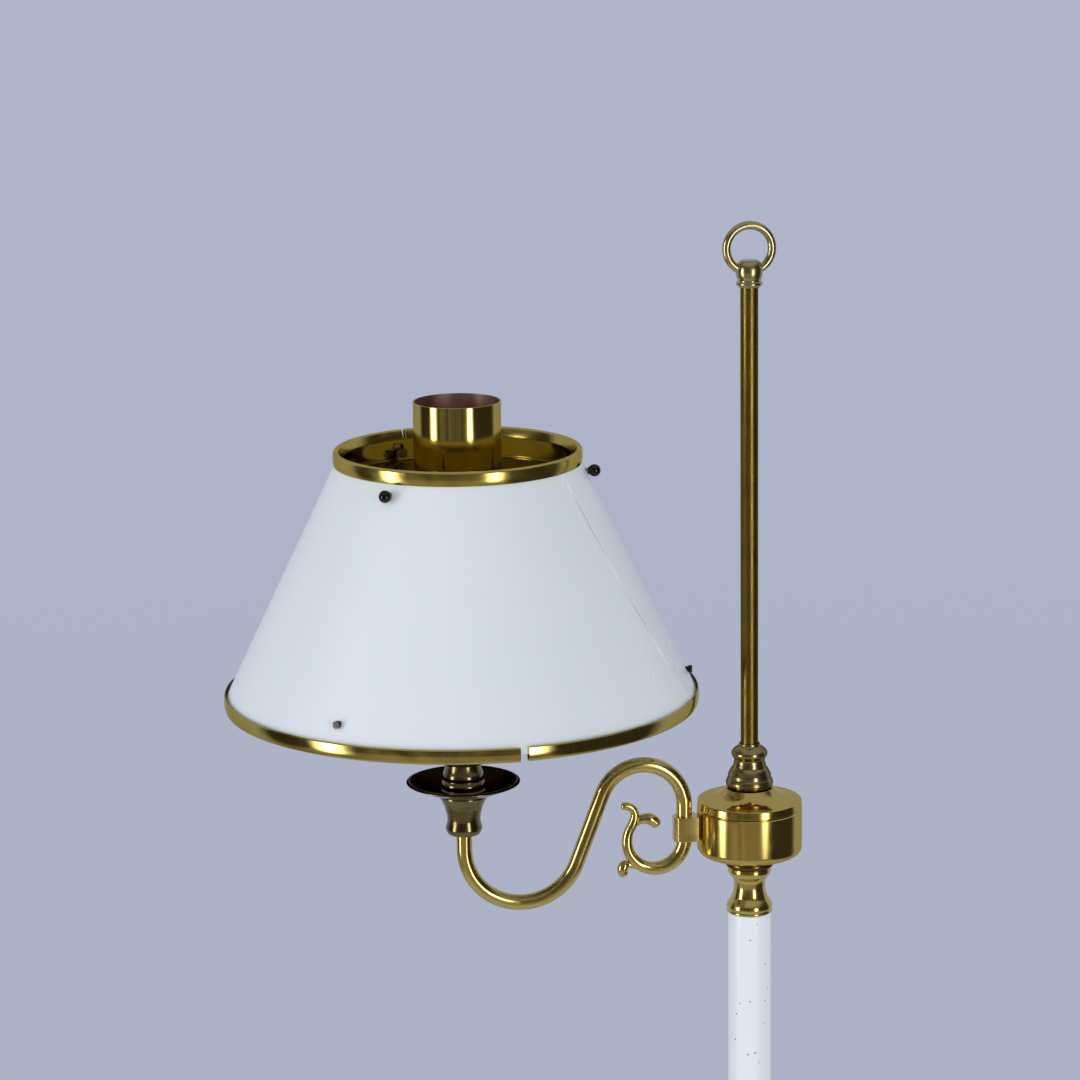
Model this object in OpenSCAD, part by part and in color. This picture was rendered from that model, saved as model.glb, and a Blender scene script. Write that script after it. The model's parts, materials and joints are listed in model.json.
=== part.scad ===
// Floor lamp: a white pole on a weighted round base, a brass hub that turns on
// the pole, a curved brass arm, and a white cone shade with brass rims.
// Millimetres, +Z up. The origin is on the pole's axis at the floor.
// At rest the arm points to -X.

/* [Base] */
// Outer diameter of the base cover
base_d = 270; // [220:1:330]
// Height of the flat land that the pole stands on
base_h = 28; // [25:0.5:40]
// Diameter of that flat land
land_d = 84; // [70:1:120]
// Height of the cover's upright edge above the floor
base_edge_h = 14; // [13.5:0.1:16]
// Rounding of the cover's upper edge
base_edge_r = 6; // [4:0.5:8]
// Thickness of the cover's sheet
cover_t = 1.5; // [1:0.1:2.2]
// Gap between the cover's rim and the floor
rim_lift = 1; // [0.5:0.1:1.5]
// Thickness of the felt pad
pad_t = 3; // [2:0.1:3.5]
// Diameter of the iron weight's raised middle
boss_d = 60; // [50:1:66]
// Diameter of the recess under the weight
recess_d = 44; // [36:1:60]
// Height of that recess
recess_h = 13; // [12:0.1:15]
// Largest diameter of the brass collar at the pole's foot
collar_d = 56; // [44:1:66]
// Height of that collar
collar_h = 15; // [10:0.5:24]
// Bore of the cord gland
gland_bore = 7; // [6.5:0.1:7.5]
// Wall of the cord gland
gland_wall = 1.2; // [1:0.1:1.6]

/* [Pole] */
// Outer diameter of the white pole
pole_d = 25; // [22:0.5:28]
// Wall of the pole
pole_wall = 1.5; // [1:0.1:2.5]
// Length of the pole
pole_len = 971.5; // [700:0.5:1200]
// Length of the plugs in the pole's ends
plug_len = 22; // [16:0.5:40]
// Outer diameter of the threaded tubes
thread_d = 10; // [9:0.1:11]
// Bore of the threaded tubes
thread_bore = 7; // [5:0.1:7.6]
// Width across the flats of the foot nut
foot_nut_w = 17; // [15:0.5:19]
// Thickness of the foot nut
foot_nut_t = 5; // [3:0.1:6]
// Outer diameter of the foot washer
foot_washer_d = 26; // [22:0.5:32]
// Thickness of the foot washer
foot_washer_t = 2; // [1:0.1:3]

/* [Hub] */
// Height of the turned brass piece under the hub
low_bob_h = 32; // [26:0.5:44]
// Diameter of its foot bulge
low_bulge_d = 26.4; // [24:0.1:30]
// Diameter of its neck
low_neck_d = 18.2; // [16:0.1:20]
// Diameter of its top flange
low_flange_d = 27.8; // [26:0.1:32]
// Diameter of the dark thrust washer
washer_d = 28; // [24:0.1:34]
// Thickness of the thrust washer
washer_t = 3; // [1.5:0.1:5]
// Outer diameter of the hub
hub_d = 60.5; // [56:0.5:72]
// Height of the hub's body
hub_body_h = 27.5; // [26:0.5:40]
// Wall of the hub's body
hub_wall = 2.2; // [1.6:0.1:3.5]
// Rounding of the hub's bottom edge
hub_round = 5; // [3:0.1:6]
// Bevel along the seam between body and lid
seam_bevel = 0.8; // [0.3:0.1:1.2]
// Height of the lid's upright edge
lid_edge_h = 4.2; // [3:0.1:8]
// Rounding of the lid's upper edge
lid_round = 1; // [0.6:0.1:2]
// Rise of the lid's hollow cone
lid_rise = 6.8; // [5:0.1:9]
// Diameter of the lid's flat top
lid_top_d = 28; // [26:0.1:32]
// Depth of the lid's spigot in the body
spigot_h = 4.2; // [3.4:0.1:4.6]
// Gap between the lid and the turned piece above it
lid_gap = 0.4; // [0.3:0.1:0.8]
// Outer diameter of the steel sleeve that the hub turns on
sleeve_d = 14; // [13.5:0.1:15]
// Wall of the bushes
bush_wall = 2; // [1.5:0.1:3]
// Height of the bushes' flanges
bush_flange_t = 2; // [1.5:0.1:3]
// Length of the lower bush
bush_h = 9; // [7:0.1:10]
// Radius of the circle that the stop pin stands on
stop_r = 16.8; // [16.5:0.1:18]
// Diameter of the stop pin
stop_pin_d = 4; // [3:0.1:4.5]
// Width of the stop collar's tooth
tooth_w = 6; // [4:0.1:8]
// Height of the stop collar
stop_h = 7; // [5:0.1:8]

/* [Rod and ring] */
// Height of the turned brass piece on the hub
up_bob_h = 25.8; // [22:0.1:36]
// Diameter of its lower bead
up_bead_d = 27.2; // [24:0.1:27.8]
// Diameter of its neck
up_neck_d = 17.6; // [15:0.1:20]
// Diameter of its top bead
up_top_d = 20.6; // [18:0.1:24]
// Outer diameter of the brass rod
rod_d = 10; // [9:0.1:11]
// Visible length of the rod
rod_len = 263.2; // [180:0.1:360]
// Length of the rod's seat in the turned piece below
rod_seat = 13; // [10:0.5:15]
// Depth of the rod's seat in the finial
fin_seat = 3.6; // [2.5:0.1:4]
// Height of the finial
fin_h = 13.9; // [13:0.1:16]
// Diameter of the finial's ball
fin_ball_d = 13.6; // [13:0.1:16]
// Diameter of the finial's collar
fin_collar_d = 14.6; // [14:0.1:18]
// Outer diameter of the carry ring
ring_d = 29.8; // [27:0.1:36]
// Diameter of the carry ring's wire
ring_wire = 4.7; // [4:0.1:5.2]

/* [Arm] */
// Distance from the pole's axis to the shade's axis
arm_reach = 166; // [162:0.5:200]
// Outer diameter of the arm tube
tube_d = 9; // [8:0.1:9.6]
// Bore of the arm tube
tube_bore = 7; // [5.5:0.1:7.2]
// Radius of the arm's upper bend
arch_r = 24.6; // [22:0.1:27]
// Height of the upper bend's centre over the clip's centre
arch_lift = 14.2; // [12:0.1:20]
// Length of the straight between the arm's two bends
arm_straight = 42.5; // [36:0.1:50]
// Lean of that straight from upright, in degrees
arm_lean = 20.95; // [16:0.05:26]
// Height of the clip's centre over the hub's bottom
clip_lift = 17.5; // [16:0.1:20]
// Height of the clip
clip_h = 14.4; // [12:0.1:18]
// Thickness of the clip's strap round the tube
clip_strap = 2.2; // [1.6:0.1:3]
// Distance from the hub to the tube's axis
clip_reach = 8.2; // [7.5:0.1:10]
// Outer diameter of the nipple between clip and hub
clip_thread_d = 6; // [5.5:0.1:6.5]
// Bore of that nipple
clip_thread_bore = 3.6; // [3:0.1:4]
// Width across the flats of the nipple's nut
clip_nut_w = 10; // [9:0.1:11]
// Thickness of that nut
clip_nut_t = 3.5; // [2.5:0.1:4]
// Radius of the cast scroll
scroll_r = 16.7; // [14:0.1:18]
// Thickness of the scroll at the clip
scroll_thick = 8.3; // [7:0.1:8.6]
// Thickness of the scroll where it parts
scroll_thin = 4.8; // [4:0.1:6]
// How much a tip of the scroll swells, in radius
scroll_bud = 0.6; // [0:0.1:1]

/* [Lamp holder] */
// Straight length of tube between the lower bend and the cup
limb_len = 8.9; // [6:0.1:16]
// Height of the dark cup under the drip pan
cup_h = 24; // [20:0.1:30]
// Diameter of the cup's upper edge
cup_top_d = 27.8; // [25:0.1:31]
// Diameter of the cup's neck
cup_neck_d = 18.4; // [16:0.1:20]
// Diameter of the cup's lower bead
cup_bead_d = 20; // [18:0.1:22]
// Depth of the arm tube in the cup
tube_seat = 12; // [8:0.1:14]
// Diameter of the drip pan
pan_d = 64.4; // [56:0.1:76]
// Height of the drip pan
pan_h = 8; // [7:0.1:11]
// Thickness of the drip pan's sheet
pan_t = 1; // [0.8:0.1:1.4]
// Height of the turned piece between pan and lamp holder
stem_h = 18; // [14:0.1:26]
// Largest diameter of that piece
stem_d = 25.4; // [22:0.1:28]
// Waist of that piece
stem_waist_d = 19.6; // [17:0.1:21]
// Height of the lamp holder's cap
cap_h = 21; // [20:0.1:26]
// Outer diameter of the lamp holder
holder_d = 40; // [38:0.1:44]
// Height of the lamp holder's skirt
skirt_h = 32; // [30:0.1:38]
// Wall of the lamp holder
holder_wall = 3; // [2:0.1:3.5]
// Thickness of the ceramic contact block
core_h = 8; // [6:0.1:10]
// Inner diameter of the brass screw shell
shell_bore = 26.6; // [26.4:0.1:27.4]
// Sheet thickness of the screw shell
shell_t = 0.6; // [0.4:0.1:0.8]
// Diameter of the shade ring nuts
shade_nut_d = 56; // [50:0.5:60]
// Thickness of a shade ring nut
shade_nut_t = 4; // [3:0.1:6]
// Height of the lower shade ring nut over the skirt's foot
shade_nut_lift = 14; // [10:0.1:17]
// Diameter of the switch bar
bar_d = 5; // [4:0.1:6]
// Travel of the switch bar
bar_travel = 8; // [5:0.1:10]
// Diameter of the switch bar's knobs
bar_knob_d = 8; // [7:0.1:10]
// Length of a switch knob
bar_knob_t = 5; // [4:0.1:7]

/* [Bulb] */
// Diameter of the bulb's glass
bulb_d = 60; // [45:0.5:66]
// Height of the glass centre over the cap
bulb_rise = 46; // [40:0.5:52]
// Diameter of the bulb's neck
bulb_neck_d = 23; // [20:0.1:24]
// Wall of the glass
bulb_wall = 1; // [0.8:0.1:1.5]
// Length of the bulb's screw cap
bulb_cap_h = 22; // [20:0.1:24]

/* [Shade] */
// Height of the shade's lower edge over the arm's cup
shade_lift = 78.4; // [74:0.1:90]
// Outer diameter of the lower rim
low_rim_d = 267; // [240:0.5:267]
// Outer diameter of the upper rim
up_rim_d = 139; // [120:0.5:150]
// Height of the lower rim
low_rim_h = 8.4; // [7:0.1:11]
// Height of the upper rim
up_rim_h = 8.2; // [7:0.1:11]
// Width of the upper rim's channel
up_rim_w = 3.4; // [3:0.1:4]
// Width of the lower rim's channel
low_rim_w = 5; // [4.5:0.1:6]
// Sheet thickness of the rims
rim_t = 0.8; // [0.6:0.1:1]
// Height from the shade's lower edge to the upper rim's top
shade_h = 145; // [130:0.5:170]
// Sheet thickness of the shade
shade_t = 1; // [0.8:0.1:1.4]
// Depth of the shade's edge in the lower rim
rim_seat = 4.2; // [3:0.1:5]
// Gap in the lower rim where its ends meet
low_split = 3.8; // [2:0.1:6]
// Gap in the upper rim where its ends meet
up_split = 1.4; // [1:0.1:3]
// Depth of the top plate below the upper rim's top
plate_drop = 18; // [16:0.1:22]
// Sheet thickness of the top plate
plate_t = 1; // [0.8:0.1:1.4]
// Outer diameter of the chimney
chimney_d = 49; // [44:0.1:56]
// Wall of the chimney
chimney_wall = 0.8; // [0.6:0.1:1.2]
// Height of the chimney over the upper rim's top
chimney_rise = 26.6; // [20:0.1:40]
// Width of the chimney's flange under the plate
chimney_flange = 3; // [2:0.1:5]
// Diameter of the ball nuts
ball_d = 7; // [6:0.1:8]
// Diameter of the studs and screws through the shade
stud_d = 3; // [2.6:0.1:3.2]
// Height of the studs over the top plate
stud_lift = 4.4; // [4:0.1:5]
// Width across the flats of the small nuts
nut_w = 5.5; // [5:0.1:6]
// Thickness of the small nuts
nut_t = 2.4; // [2:0.1:3]
// Height of the rim screws over the shade's lower edge
screw_lift = 17; // [14:0.1:20]
// Diameter of the rim screws' heads
screw_head_d = 4.2; // [3.8:0.1:5]
// Height of the rim screws' heads
screw_head_h = 2.2; // [1.6:0.1:3]
// Sheet thickness of the spider
spider_t = 1.6; // [1.2:0.1:2]
// Width of the spider's arms
spider_w = 9; // [8:0.1:12]
// Number of studs, rim screws and spider arms
arms = 3; // [3:1:4]

/* [Hidden] */

$fn = 64;
// Radial clearance of fixed fits, and of the running fit on the sleeve
fit = 0.05;
run = 0.05;
// Steps along a turned curve and along a quarter arc
curve_n = 6;
arc_n = 6;
// How far a cutting tool runs past the face that it cuts
past = 1;

// Base heights and radii
base_r = base_d / 2;
weight_top = base_edge_h + base_edge_r - cover_t - 1.5;
weight_r = base_r - base_edge_r - cover_t;
pad_r = weight_r - 2;
recess_top = pad_t + recess_h;
nipple_low = recess_top - foot_washer_t - foot_nut_t - 2;
gland_r = gland_bore / 2 + gland_wall;
gland_flange_r = gland_r + 1.3;
gland_z = (rim_lift + base_edge_h) / 2;
channel_w = 2 * gland_flange_r + 1;

// Heights up the pole's axis
z_land = base_h;
z_pole = z_land + pole_len;
z_washer = z_pole + low_bob_h;
z_hub = z_washer + washer_t;
z_seam = z_hub + hub_body_h;
z_edge = z_seam + lid_edge_h;
z_lid = z_edge + lid_round + lid_rise;
z_bob = z_lid + lid_gap;
z_rod = z_bob + up_bob_h;
z_fin = z_rod + rod_len;
z_joint = z_rod - rod_seat;
wire_r = ring_wire / 2;
ring_r = ring_d / 2 - wire_r;
z_ball = z_fin + fin_h - 4.4;
z_ring = z_ball + ring_r;

// Hub
hub_r = hub_d / 2;
hub_in_r = hub_r - hub_wall;
hub_floor = 3;
sleeve_r = sleeve_d / 2;
bush_in_r = sleeve_r + run;
bush_r = bush_in_r + bush_wall;
bush_flange_r = bush_r + 3;
lid_top_r = lid_top_d / 2;
lid_shell = 2;
z_boss = z_lid - lid_rise - lid_round;
stop_ring_r = sleeve_r + 4;
tooth_r = stop_r + stop_pin_d / 2;
z_stop = z_hub + bush_h + 1.5;
lid_screw_d = 2.2;
lid_screw_angle = -71;

// Arm, as distance u from the pole's axis and height z
clip_u = hub_r + clip_reach;
clip_z = z_hub + clip_lift;
arch_c = [clip_u + arch_r, clip_z + arch_lift];
// The lower bend fills what the upper bend and the straight leave of the reach
bends_r = (arm_reach - clip_u - arm_straight * sin(arm_lean)) / (1 + cos(arm_lean));
bend_r = bends_r - arch_r;
bend_c = [arm_reach - bend_r, arch_c[1] + bends_r * sin(arm_lean) - arm_straight * cos(arm_lean)];
tube_r = tube_d / 2;
clip_half = tube_r + fit + clip_strap;
// How far the tube's straight ends lap into its bends, and how much thinner they are
lap = 0.4;
lap_slim = 0.01;
tube_low = clip_z - clip_thread_d / 2 - 1;
scroll_c = [clip_u + scroll_r, tube_low - 2.4];
clip_nut_c = clip_nut_w / 2 / cos(30);
clip_nut_u = sqrt(pow(hub_in_r, 2) - pow(clip_nut_c, 2)) - fit;

// Heights up the shade's axis
z_cup = bend_c[1] + limb_len;
z_pan = z_cup + cup_h;
z_stem = z_pan + pan_t;
z_cap = z_stem + stem_h;
z_skirt = z_cap + cap_h;
z_tube = z_cup + tube_seat;
z_spigot = z_tube - 9;
nipple_top = z_cap + 8;
bar_z = nipple_top + bar_knob_d / 2 + 2;
holder_r = holder_d / 2;
holder_in_r = holder_r - holder_wall;
bar_end = holder_r + 2;
shell_r = shell_bore / 2 + shell_t;
shell_slot = 4;
z_core = z_skirt + core_h;
contact_t = 2;
contact_d = 9;
// Holes for the wires through the contact block, and their distance from its axis
wire_hole_d = 3;
wire_x = 8;
z_contact = z_core + contact_t;
z_shade_nut = z_skirt + shade_nut_lift;
z_spider = z_shade_nut + shade_nut_t;
bulb_r = bulb_d / 2;
bulb_cap_r = shell_bore / 2 - 0.3;
bulb_seat = 6;
z_bulb = z_contact + bulb_cap_h;

// Shade, as radius and height about the shade's axis
z_low = z_cup + shade_lift;
z_top = z_low + shade_h;
z_up = z_top - up_rim_h;
low_r = low_rim_d / 2;
up_r = up_rim_d / 2;
cone_low = [low_r - rim_t - 0.15, z_low + rim_seat];
cone_high = [up_r - rim_t - 0.15, z_up];
slope = (cone_low[0] - cone_high[0]) / (cone_high[1] - cone_low[1]);
sheet = shade_t * sqrt(1 + slope * slope);
z_cone_top = z_up + rim_t * 3;
z_plate = z_top - plate_drop;
z_stud = z_plate + stud_lift;
z_screw = z_low + screw_lift;
flange_t = plate_t * sqrt(1 + slope * slope);
z_flange = z_up - 0.5;
chimney_r = chimney_d / 2;
nut_c = nut_w / 2 / cos(30);
stud_in = cone_in(z_stud + nut_c) - fit - flange_t - 0.1;
tab_in = cone_in(z_screw + 6) - fit - spider_t;
ball_neck_d = stud_d + 1.4;
ball_r = cone_out(z_stud - ball_neck_d / 2) + 0.1 + ball_d / 2;
// Direction of the first stud about the shade's axis, and of the rims' splits
stud_angle = -10;
low_split_angle = -81;
up_split_angle = 109;

function cone_out(z) = cone_high[0] + (cone_high[1] - z) * slope;
function cone_in(z) = cone_out(z) - sheet;

// Points of an arc about centre c
function arc(c, r, a0, a1, n = arc_n) =
    [for (i = [0:n]) let (a = a0 + (a1 - a0) * i / n) c + r * [cos(a), sin(a)]];

// Points of a smooth curve that passes through every point of p
function smooth(p, n = curve_n) =
    let (last = len(p) - 1)
    [for (k = [0:last - 1]) for (i = [0:(k == last - 1 ? n : n - 1)])
        let (t = i / n, a = p[max(k - 1, 0)], b = p[k], c = p[k + 1], d = p[min(k + 2, last)])
        0.5 * (2 * b + (c - a) * t + (2 * a - 5 * b + 4 * c - d) * t * t
            + (3 * b - a - 3 * c + d) * t * t * t)];

// Points of a cubic curve with end points and handles p[0] to p[3]
function bezier(p, n) =
    [for (i = [0:n]) let (t = i / n, s = 1 - t)
        s * s * s * p[0] + 3 * s * s * t * p[1] + 3 * s * t * t * p[2] + t * t * t * p[3]];

function reversed(p) = [for (i = [len(p) - 1:-1:0]) p[i]];

function raised(p, z) = [for (q = p) [q[0], q[1] + z]];

// A turned solid about the Z axis from points of radius and height
module turned(p) rotate_extrude($fn = 96) polygon(p);

module ring(r_out, r_in, h) difference() {
    cylinder(r = r_out, h = h);
    translate([0, 0, -past]) cylinder(r = r_in, h = h + 2 * past);
}

module hex_nut(w, bore, h) difference() {
    cylinder(d = w / cos(30), h = h, $fn = 6);
    translate([0, 0, -past]) cylinder(d = bore + 2 * fit, h = h + 2 * past);
}

// Moves what is drawn about the Z axis to the shade's axis
module at_shade() translate([-arm_reach, 0, 0]) children();

// Turns what is drawn with +X along the arm into the lamp's frame
module along_arm() mirror([1, 0, 0]) children();

// Copies round the shade's axis, drawn with +X pointing outward
module round_shade() at_shade()
    for (i = [0:arms - 1]) rotate([0, 0, stud_angle + i * 360 / arms]) children();

// A cylinder along +X
module rod_x(d, x0, x1) translate([x0, 0, 0]) rotate([0, 90, 0]) cylinder(d = d, h = x1 - x0);

// Colours
white = [0.93, 0.94, 0.95];
polished = [0.80, 0.64, 0.22];
rimmed = [0.70, 0.61, 0.24];
olive = [0.45, 0.37, 0.15];
dark = [0.26, 0.22, 0.12];
black = [0.08, 0.07, 0.06];
steel = [0.62, 0.63, 0.65];
iron = [0.25, 0.25, 0.27];
ceramic = [0.88, 0.86, 0.82];

// Base

module base_pad() color(black) cylinder(r = pad_r, h = pad_t);

module base_weight() color(iron) difference() {
    union() {
        translate([0, 0, pad_t]) cylinder(r = weight_r, h = weight_top - pad_t);
        translate([0, 0, pad_t]) cylinder(d = boss_d, h = base_h - cover_t - pad_t);
    }
    translate([0, 0, pad_t - past]) cylinder(d = recess_d, h = recess_h + past);
    cylinder(d = thread_d + 2 * fit, h = base_h);
    translate([0, -channel_w / 2, pad_t - past])
        cube([base_r, channel_w, gland_z + channel_w / 2 - pad_t + past]);
}

function cover_line(r, edge, top) =
    let (fall = atan2(top - base_edge_h - edge, r - edge - land_d / 2))
    concat(arc([r - edge, base_edge_h], edge, 0, 90 - fall), [[land_d / 2, top]]);

module base_cover() color(white) difference() {
    turned(concat(
        [[base_r, rim_lift]],
        cover_line(base_r, base_edge_r, base_h),
        [[thread_d / 2 + fit, base_h], [thread_d / 2 + fit, base_h - cover_t]],
        reversed(cover_line(base_r - cover_t, base_edge_r - cover_t, base_h - cover_t)),
        [[base_r - cover_t, rim_lift]]
    ));
    translate([0, 0, gland_z]) rod_x(2 * (gland_r + fit), base_r / 2, base_r + past);
}

module base_collar() color(polished) translate([0, 0, z_land]) turned(concat(
    [[pole_d / 2 + 3 * fit, 0]],
    [[collar_d / 2 - 0.8, 0], [collar_d / 2, 0.8], [collar_d / 2, 3.2], [collar_d / 2 - 1.2, 4]],
    smooth([
        [collar_d / 2 - 2, 4],
        [(collar_d / 2 + pole_d) / 2 - 3, 5.5],
        [pole_d / 2 + 5, collar_h * 0.6],
        [pole_d / 2 + 3.2, collar_h - 3]
    ]),
    arc([pole_d / 2 + 2.6, collar_h - 1.4], 1.4, -40, 90),
    [[pole_d / 2 + 3 * fit, collar_h]]
));

gland_in = sqrt(pow(base_r - cover_t, 2) - pow(gland_flange_r, 2)) - fit;
gland_out = base_r + 1.8;
gland_lip = 1.6;

module cord_gland() color(black) translate([0, 0, gland_z]) difference() {
    union() {
        rod_x(2 * gland_r, gland_in - gland_lip, gland_out);
        rod_x(2 * gland_flange_r, base_r + fit, gland_out);
        rod_x(2 * gland_flange_r, gland_in - gland_lip, gland_in);
    }
    rod_x(gland_bore, gland_in - gland_lip - past, gland_out + past);
}

module foot_nipple() color(steel) translate([0, 0, nipple_low])
    ring(thread_d / 2, thread_bore / 2, z_land + plug_len - nipple_low);

module foot_washer() color(steel) translate([0, 0, recess_top - foot_washer_t])
    ring(foot_washer_d / 2, thread_d / 2 + fit, foot_washer_t);

module foot_nut() color(steel) translate([0, 0, recess_top - foot_washer_t - foot_nut_t])
    hex_nut(foot_nut_w, thread_d, foot_nut_t);

module pole_end_plug() ring(pole_d / 2 - pole_wall - fit, thread_d / 2 + fit, plug_len);

module foot_plug() color(steel) translate([0, 0, z_land]) pole_end_plug();

// Pole, pivot and rod

module pole() color(white) translate([0, 0, z_land])
    ring(pole_d / 2, pole_d / 2 - pole_wall, pole_len);

module top_plug() color(steel) translate([0, 0, z_pole - plug_len]) pole_end_plug();

module lower_bobbin() color(polished) translate([0, 0, z_pole]) turned(concat(
    [[thread_d / 2 + fit, 0]],
    smooth([
        [low_bulge_d / 2 - 1.4, 0],
        [low_bulge_d / 2 - 0.2, 1.6],
        [low_bulge_d / 2, 3.2],
        [low_bulge_d / 2 - 0.9, 6],
        [low_neck_d / 2 + 1.3, low_bob_h * 0.31],
        [low_neck_d / 2, low_bob_h * 0.43],
        [low_neck_d / 2 + 0.9, low_bob_h * 0.55],
        [low_flange_d / 2 - 2.6, low_bob_h * 0.63]
    ]),
    arc([low_flange_d / 2 - 2.4, low_bob_h * 0.68], 1, -80, 70),
    arc([low_flange_d / 2 - 1.2, low_bob_h - 6.4], 1.2, -80, 0),
    [[low_flange_d / 2, low_bob_h - 1], [low_flange_d / 2 - 1, low_bob_h]],
    [[thread_d / 2 + fit, low_bob_h]]
));

module thrust_washer() color(dark) translate([0, 0, z_washer])
    ring(washer_d / 2, thread_d / 2 + fit, washer_t);

module pivot_tube() color(steel) translate([0, 0, z_pole - plug_len])
    ring(thread_d / 2, thread_bore / 2, z_joint - z_pole + plug_len);

module pivot_sleeve() color(steel) difference() {
    translate([0, 0, z_hub]) ring(sleeve_r, thread_d / 2 + fit, z_bob - z_hub);
    translate([0, 0, z_stop + stop_h / 2]) rod_x(stud_d + 2 * fit, 0, sleeve_r + past);
}

module stop_collar() color(steel) translate([0, 0, z_stop]) difference() {
    union() {
        cylinder(r = stop_ring_r, h = stop_h);
        translate([0, -tooth_w / 2, 0]) cube([tooth_r, tooth_w, stop_h]);
    }
    translate([0, 0, -past]) cylinder(r = sleeve_r + fit, h = stop_h + 2 * past);
    translate([0, 0, stop_h / 2]) rod_x(stud_d + 2 * fit, 0, tooth_r + past);
}

module collar_screw() color(steel) translate([0, 0, z_stop + stop_h / 2])
    rod_x(stud_d, thread_d / 2 + fit, stop_ring_r + 1);

module upper_bobbin() color(dark) translate([0, 0, z_bob]) turned(concat(
    [[thread_d / 2 + fit, 0]],
    smooth([
        [up_bead_d / 2 - 1.3, 0],
        [up_bead_d / 2 - 0.4, up_bob_h * 0.045],
        [up_bead_d / 2, up_bob_h * 0.105],
        [up_bead_d / 2 - 0.5, up_bob_h * 0.175],
        [up_bead_d / 2 - 1.3, up_bob_h * 0.225],
        [up_bead_d / 2 - 1.4, up_bob_h * 0.28],
        [up_bead_d / 2 - 1.9, up_bob_h * 0.34],
        [(up_bead_d + up_neck_d) / 4 - 0.5, up_bob_h * 0.4],
        [up_neck_d / 2 + 1.2, up_bob_h * 0.45],
        [up_neck_d / 2 + 1, up_bob_h * 0.51],
        [up_neck_d / 2 + 0.4, up_bob_h * 0.57],
        [up_neck_d / 2 - 0.1, up_bob_h * 0.64],
        [up_neck_d / 2 + 0.1, up_bob_h * 0.69],
        [up_top_d / 2 - 0.5, up_bob_h * 0.75],
        [up_top_d / 2, up_bob_h * 0.81],
        [up_top_d / 2 - 0.5, up_bob_h * 0.87],
        [(up_top_d + rod_d) / 4 + 0.3, up_bob_h * 0.95],
        [rod_d / 2 + 0.9, up_bob_h]
    ]),
    [[rod_d / 2 + fit, up_bob_h], [rod_d / 2 + fit, up_bob_h - rod_seat]],
    [[thread_d / 2 + fit, up_bob_h - rod_seat]]
));

module upper_rod() color(olive) translate([0, 0, z_joint])
    ring(rod_d / 2, thread_bore / 2, rod_seat + rod_len + fin_seat);

module ring_wire(extra) translate([0, 0, z_ring]) rotate([90, 0, 0])
    rotate_extrude($fn = 96) translate([ring_r, 0]) circle(r = wire_r + extra, $fn = 32);

module finial() color(rimmed) difference() {
    translate([0, 0, z_fin]) turned(concat(
        [[rod_d / 2 + fit, fin_seat], [rod_d / 2 + fit, 0], [fin_collar_d / 2 - 1.2, 0]],
        arc([fin_collar_d / 2 - 1.5, 2], 1.5, -70, 70),
        arc([(fin_ball_d - 1.8) / 2 + 1, 5], 1, 240, 120, 4),
        arc([0, fin_h - 4.9], fin_ball_d / 2, -18, 38),
        [[2.4, fin_h], [0, fin_h], [0, fin_seat]]
    ));
    ring_wire(fit);
}

module carry_ring() color(rimmed) ring_wire(0);

// Hub

module hub_body() color(polished) difference() {
    translate([0, 0, z_hub]) turned(concat(
        [[bush_r + fit, 0]],
        arc([hub_r - hub_round, hub_round], hub_round, -90, 0),
        [[hub_r, hub_body_h - seam_bevel], [hub_r - seam_bevel, hub_body_h]],
        [[hub_in_r, hub_body_h]],
        arc([hub_r - hub_round, hub_round], hub_round - hub_wall, 0, -90),
        [[bush_flange_r + 2, hub_wall], [bush_flange_r + 2, hub_floor], [bush_r + fit, hub_floor]]
    ));
    along_arm() translate([0, 0, clip_z]) rod_x(clip_thread_d + 2 * fit, hub_r / 2, hub_r + past);
    translate([-stop_r, 0, z_hub + hub_wall / 2]) cylinder(d = stop_pin_d + 2 * fit, h = hub_body_h);
    rotate([0, 0, lid_screw_angle]) translate([0, 0, z_seam - spigot_h / 2])
        rod_x(lid_screw_d + 2 * fit, hub_r / 2, hub_r + past);
}

module hub_lid() color(polished) translate([0, 0, z_seam]) turned(concat(
    [[hub_in_r - fit, 0], [hub_r - seam_bevel, 0], [hub_r, seam_bevel]],
    arc([hub_r - lid_round, lid_edge_h], lid_round, 0, 80),
    smooth([
        [hub_r - lid_round - 0.4, lid_edge_h + lid_round],
        [lid_top_r + (hub_r - lid_top_r) * 0.64, lid_edge_h + lid_round + lid_rise * 0.05],
        [lid_top_r + (hub_r - lid_top_r) * 0.37, lid_edge_h + lid_round + lid_rise * 0.2],
        [lid_top_r + (hub_r - lid_top_r) * 0.16, lid_edge_h + lid_round + lid_rise * 0.5],
        [lid_top_r, z_lid - z_seam]
    ]),
    [[bush_r + fit, z_lid - z_seam]],
    [[bush_r + fit, z_boss - z_seam], [bush_flange_r + 1, z_boss - z_seam]],
    [[bush_flange_r + 1, z_lid - z_seam - lid_shell - 2.5]],
    [[hub_in_r - fit - lid_shell, lid_edge_h - 1.2], [hub_in_r - fit - lid_shell, -spigot_h]],
    [[hub_in_r - fit, -spigot_h]]
));

module lid_screw() color(steel) rotate([0, 0, lid_screw_angle])
    translate([0, 0, z_seam - spigot_h / 2]) rod_x(lid_screw_d, hub_in_r, hub_r - 0.4);

// A flanged bush with its flange's upper face at height h
module bush(h, z_flange_top) {
    ring(bush_r, bush_in_r, h);
    translate([0, 0, z_flange_top - bush_flange_t]) ring(bush_flange_r, bush_in_r, bush_flange_t);
}

module lower_bush() color(rimmed) translate([0, 0, z_hub]) bush(bush_h, hub_floor + bush_flange_t);

module upper_bush() color(rimmed) translate([0, 0, z_boss - bush_flange_t - 3])
    bush(z_lid - z_boss + bush_flange_t + 3, bush_flange_t + 3);

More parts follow.
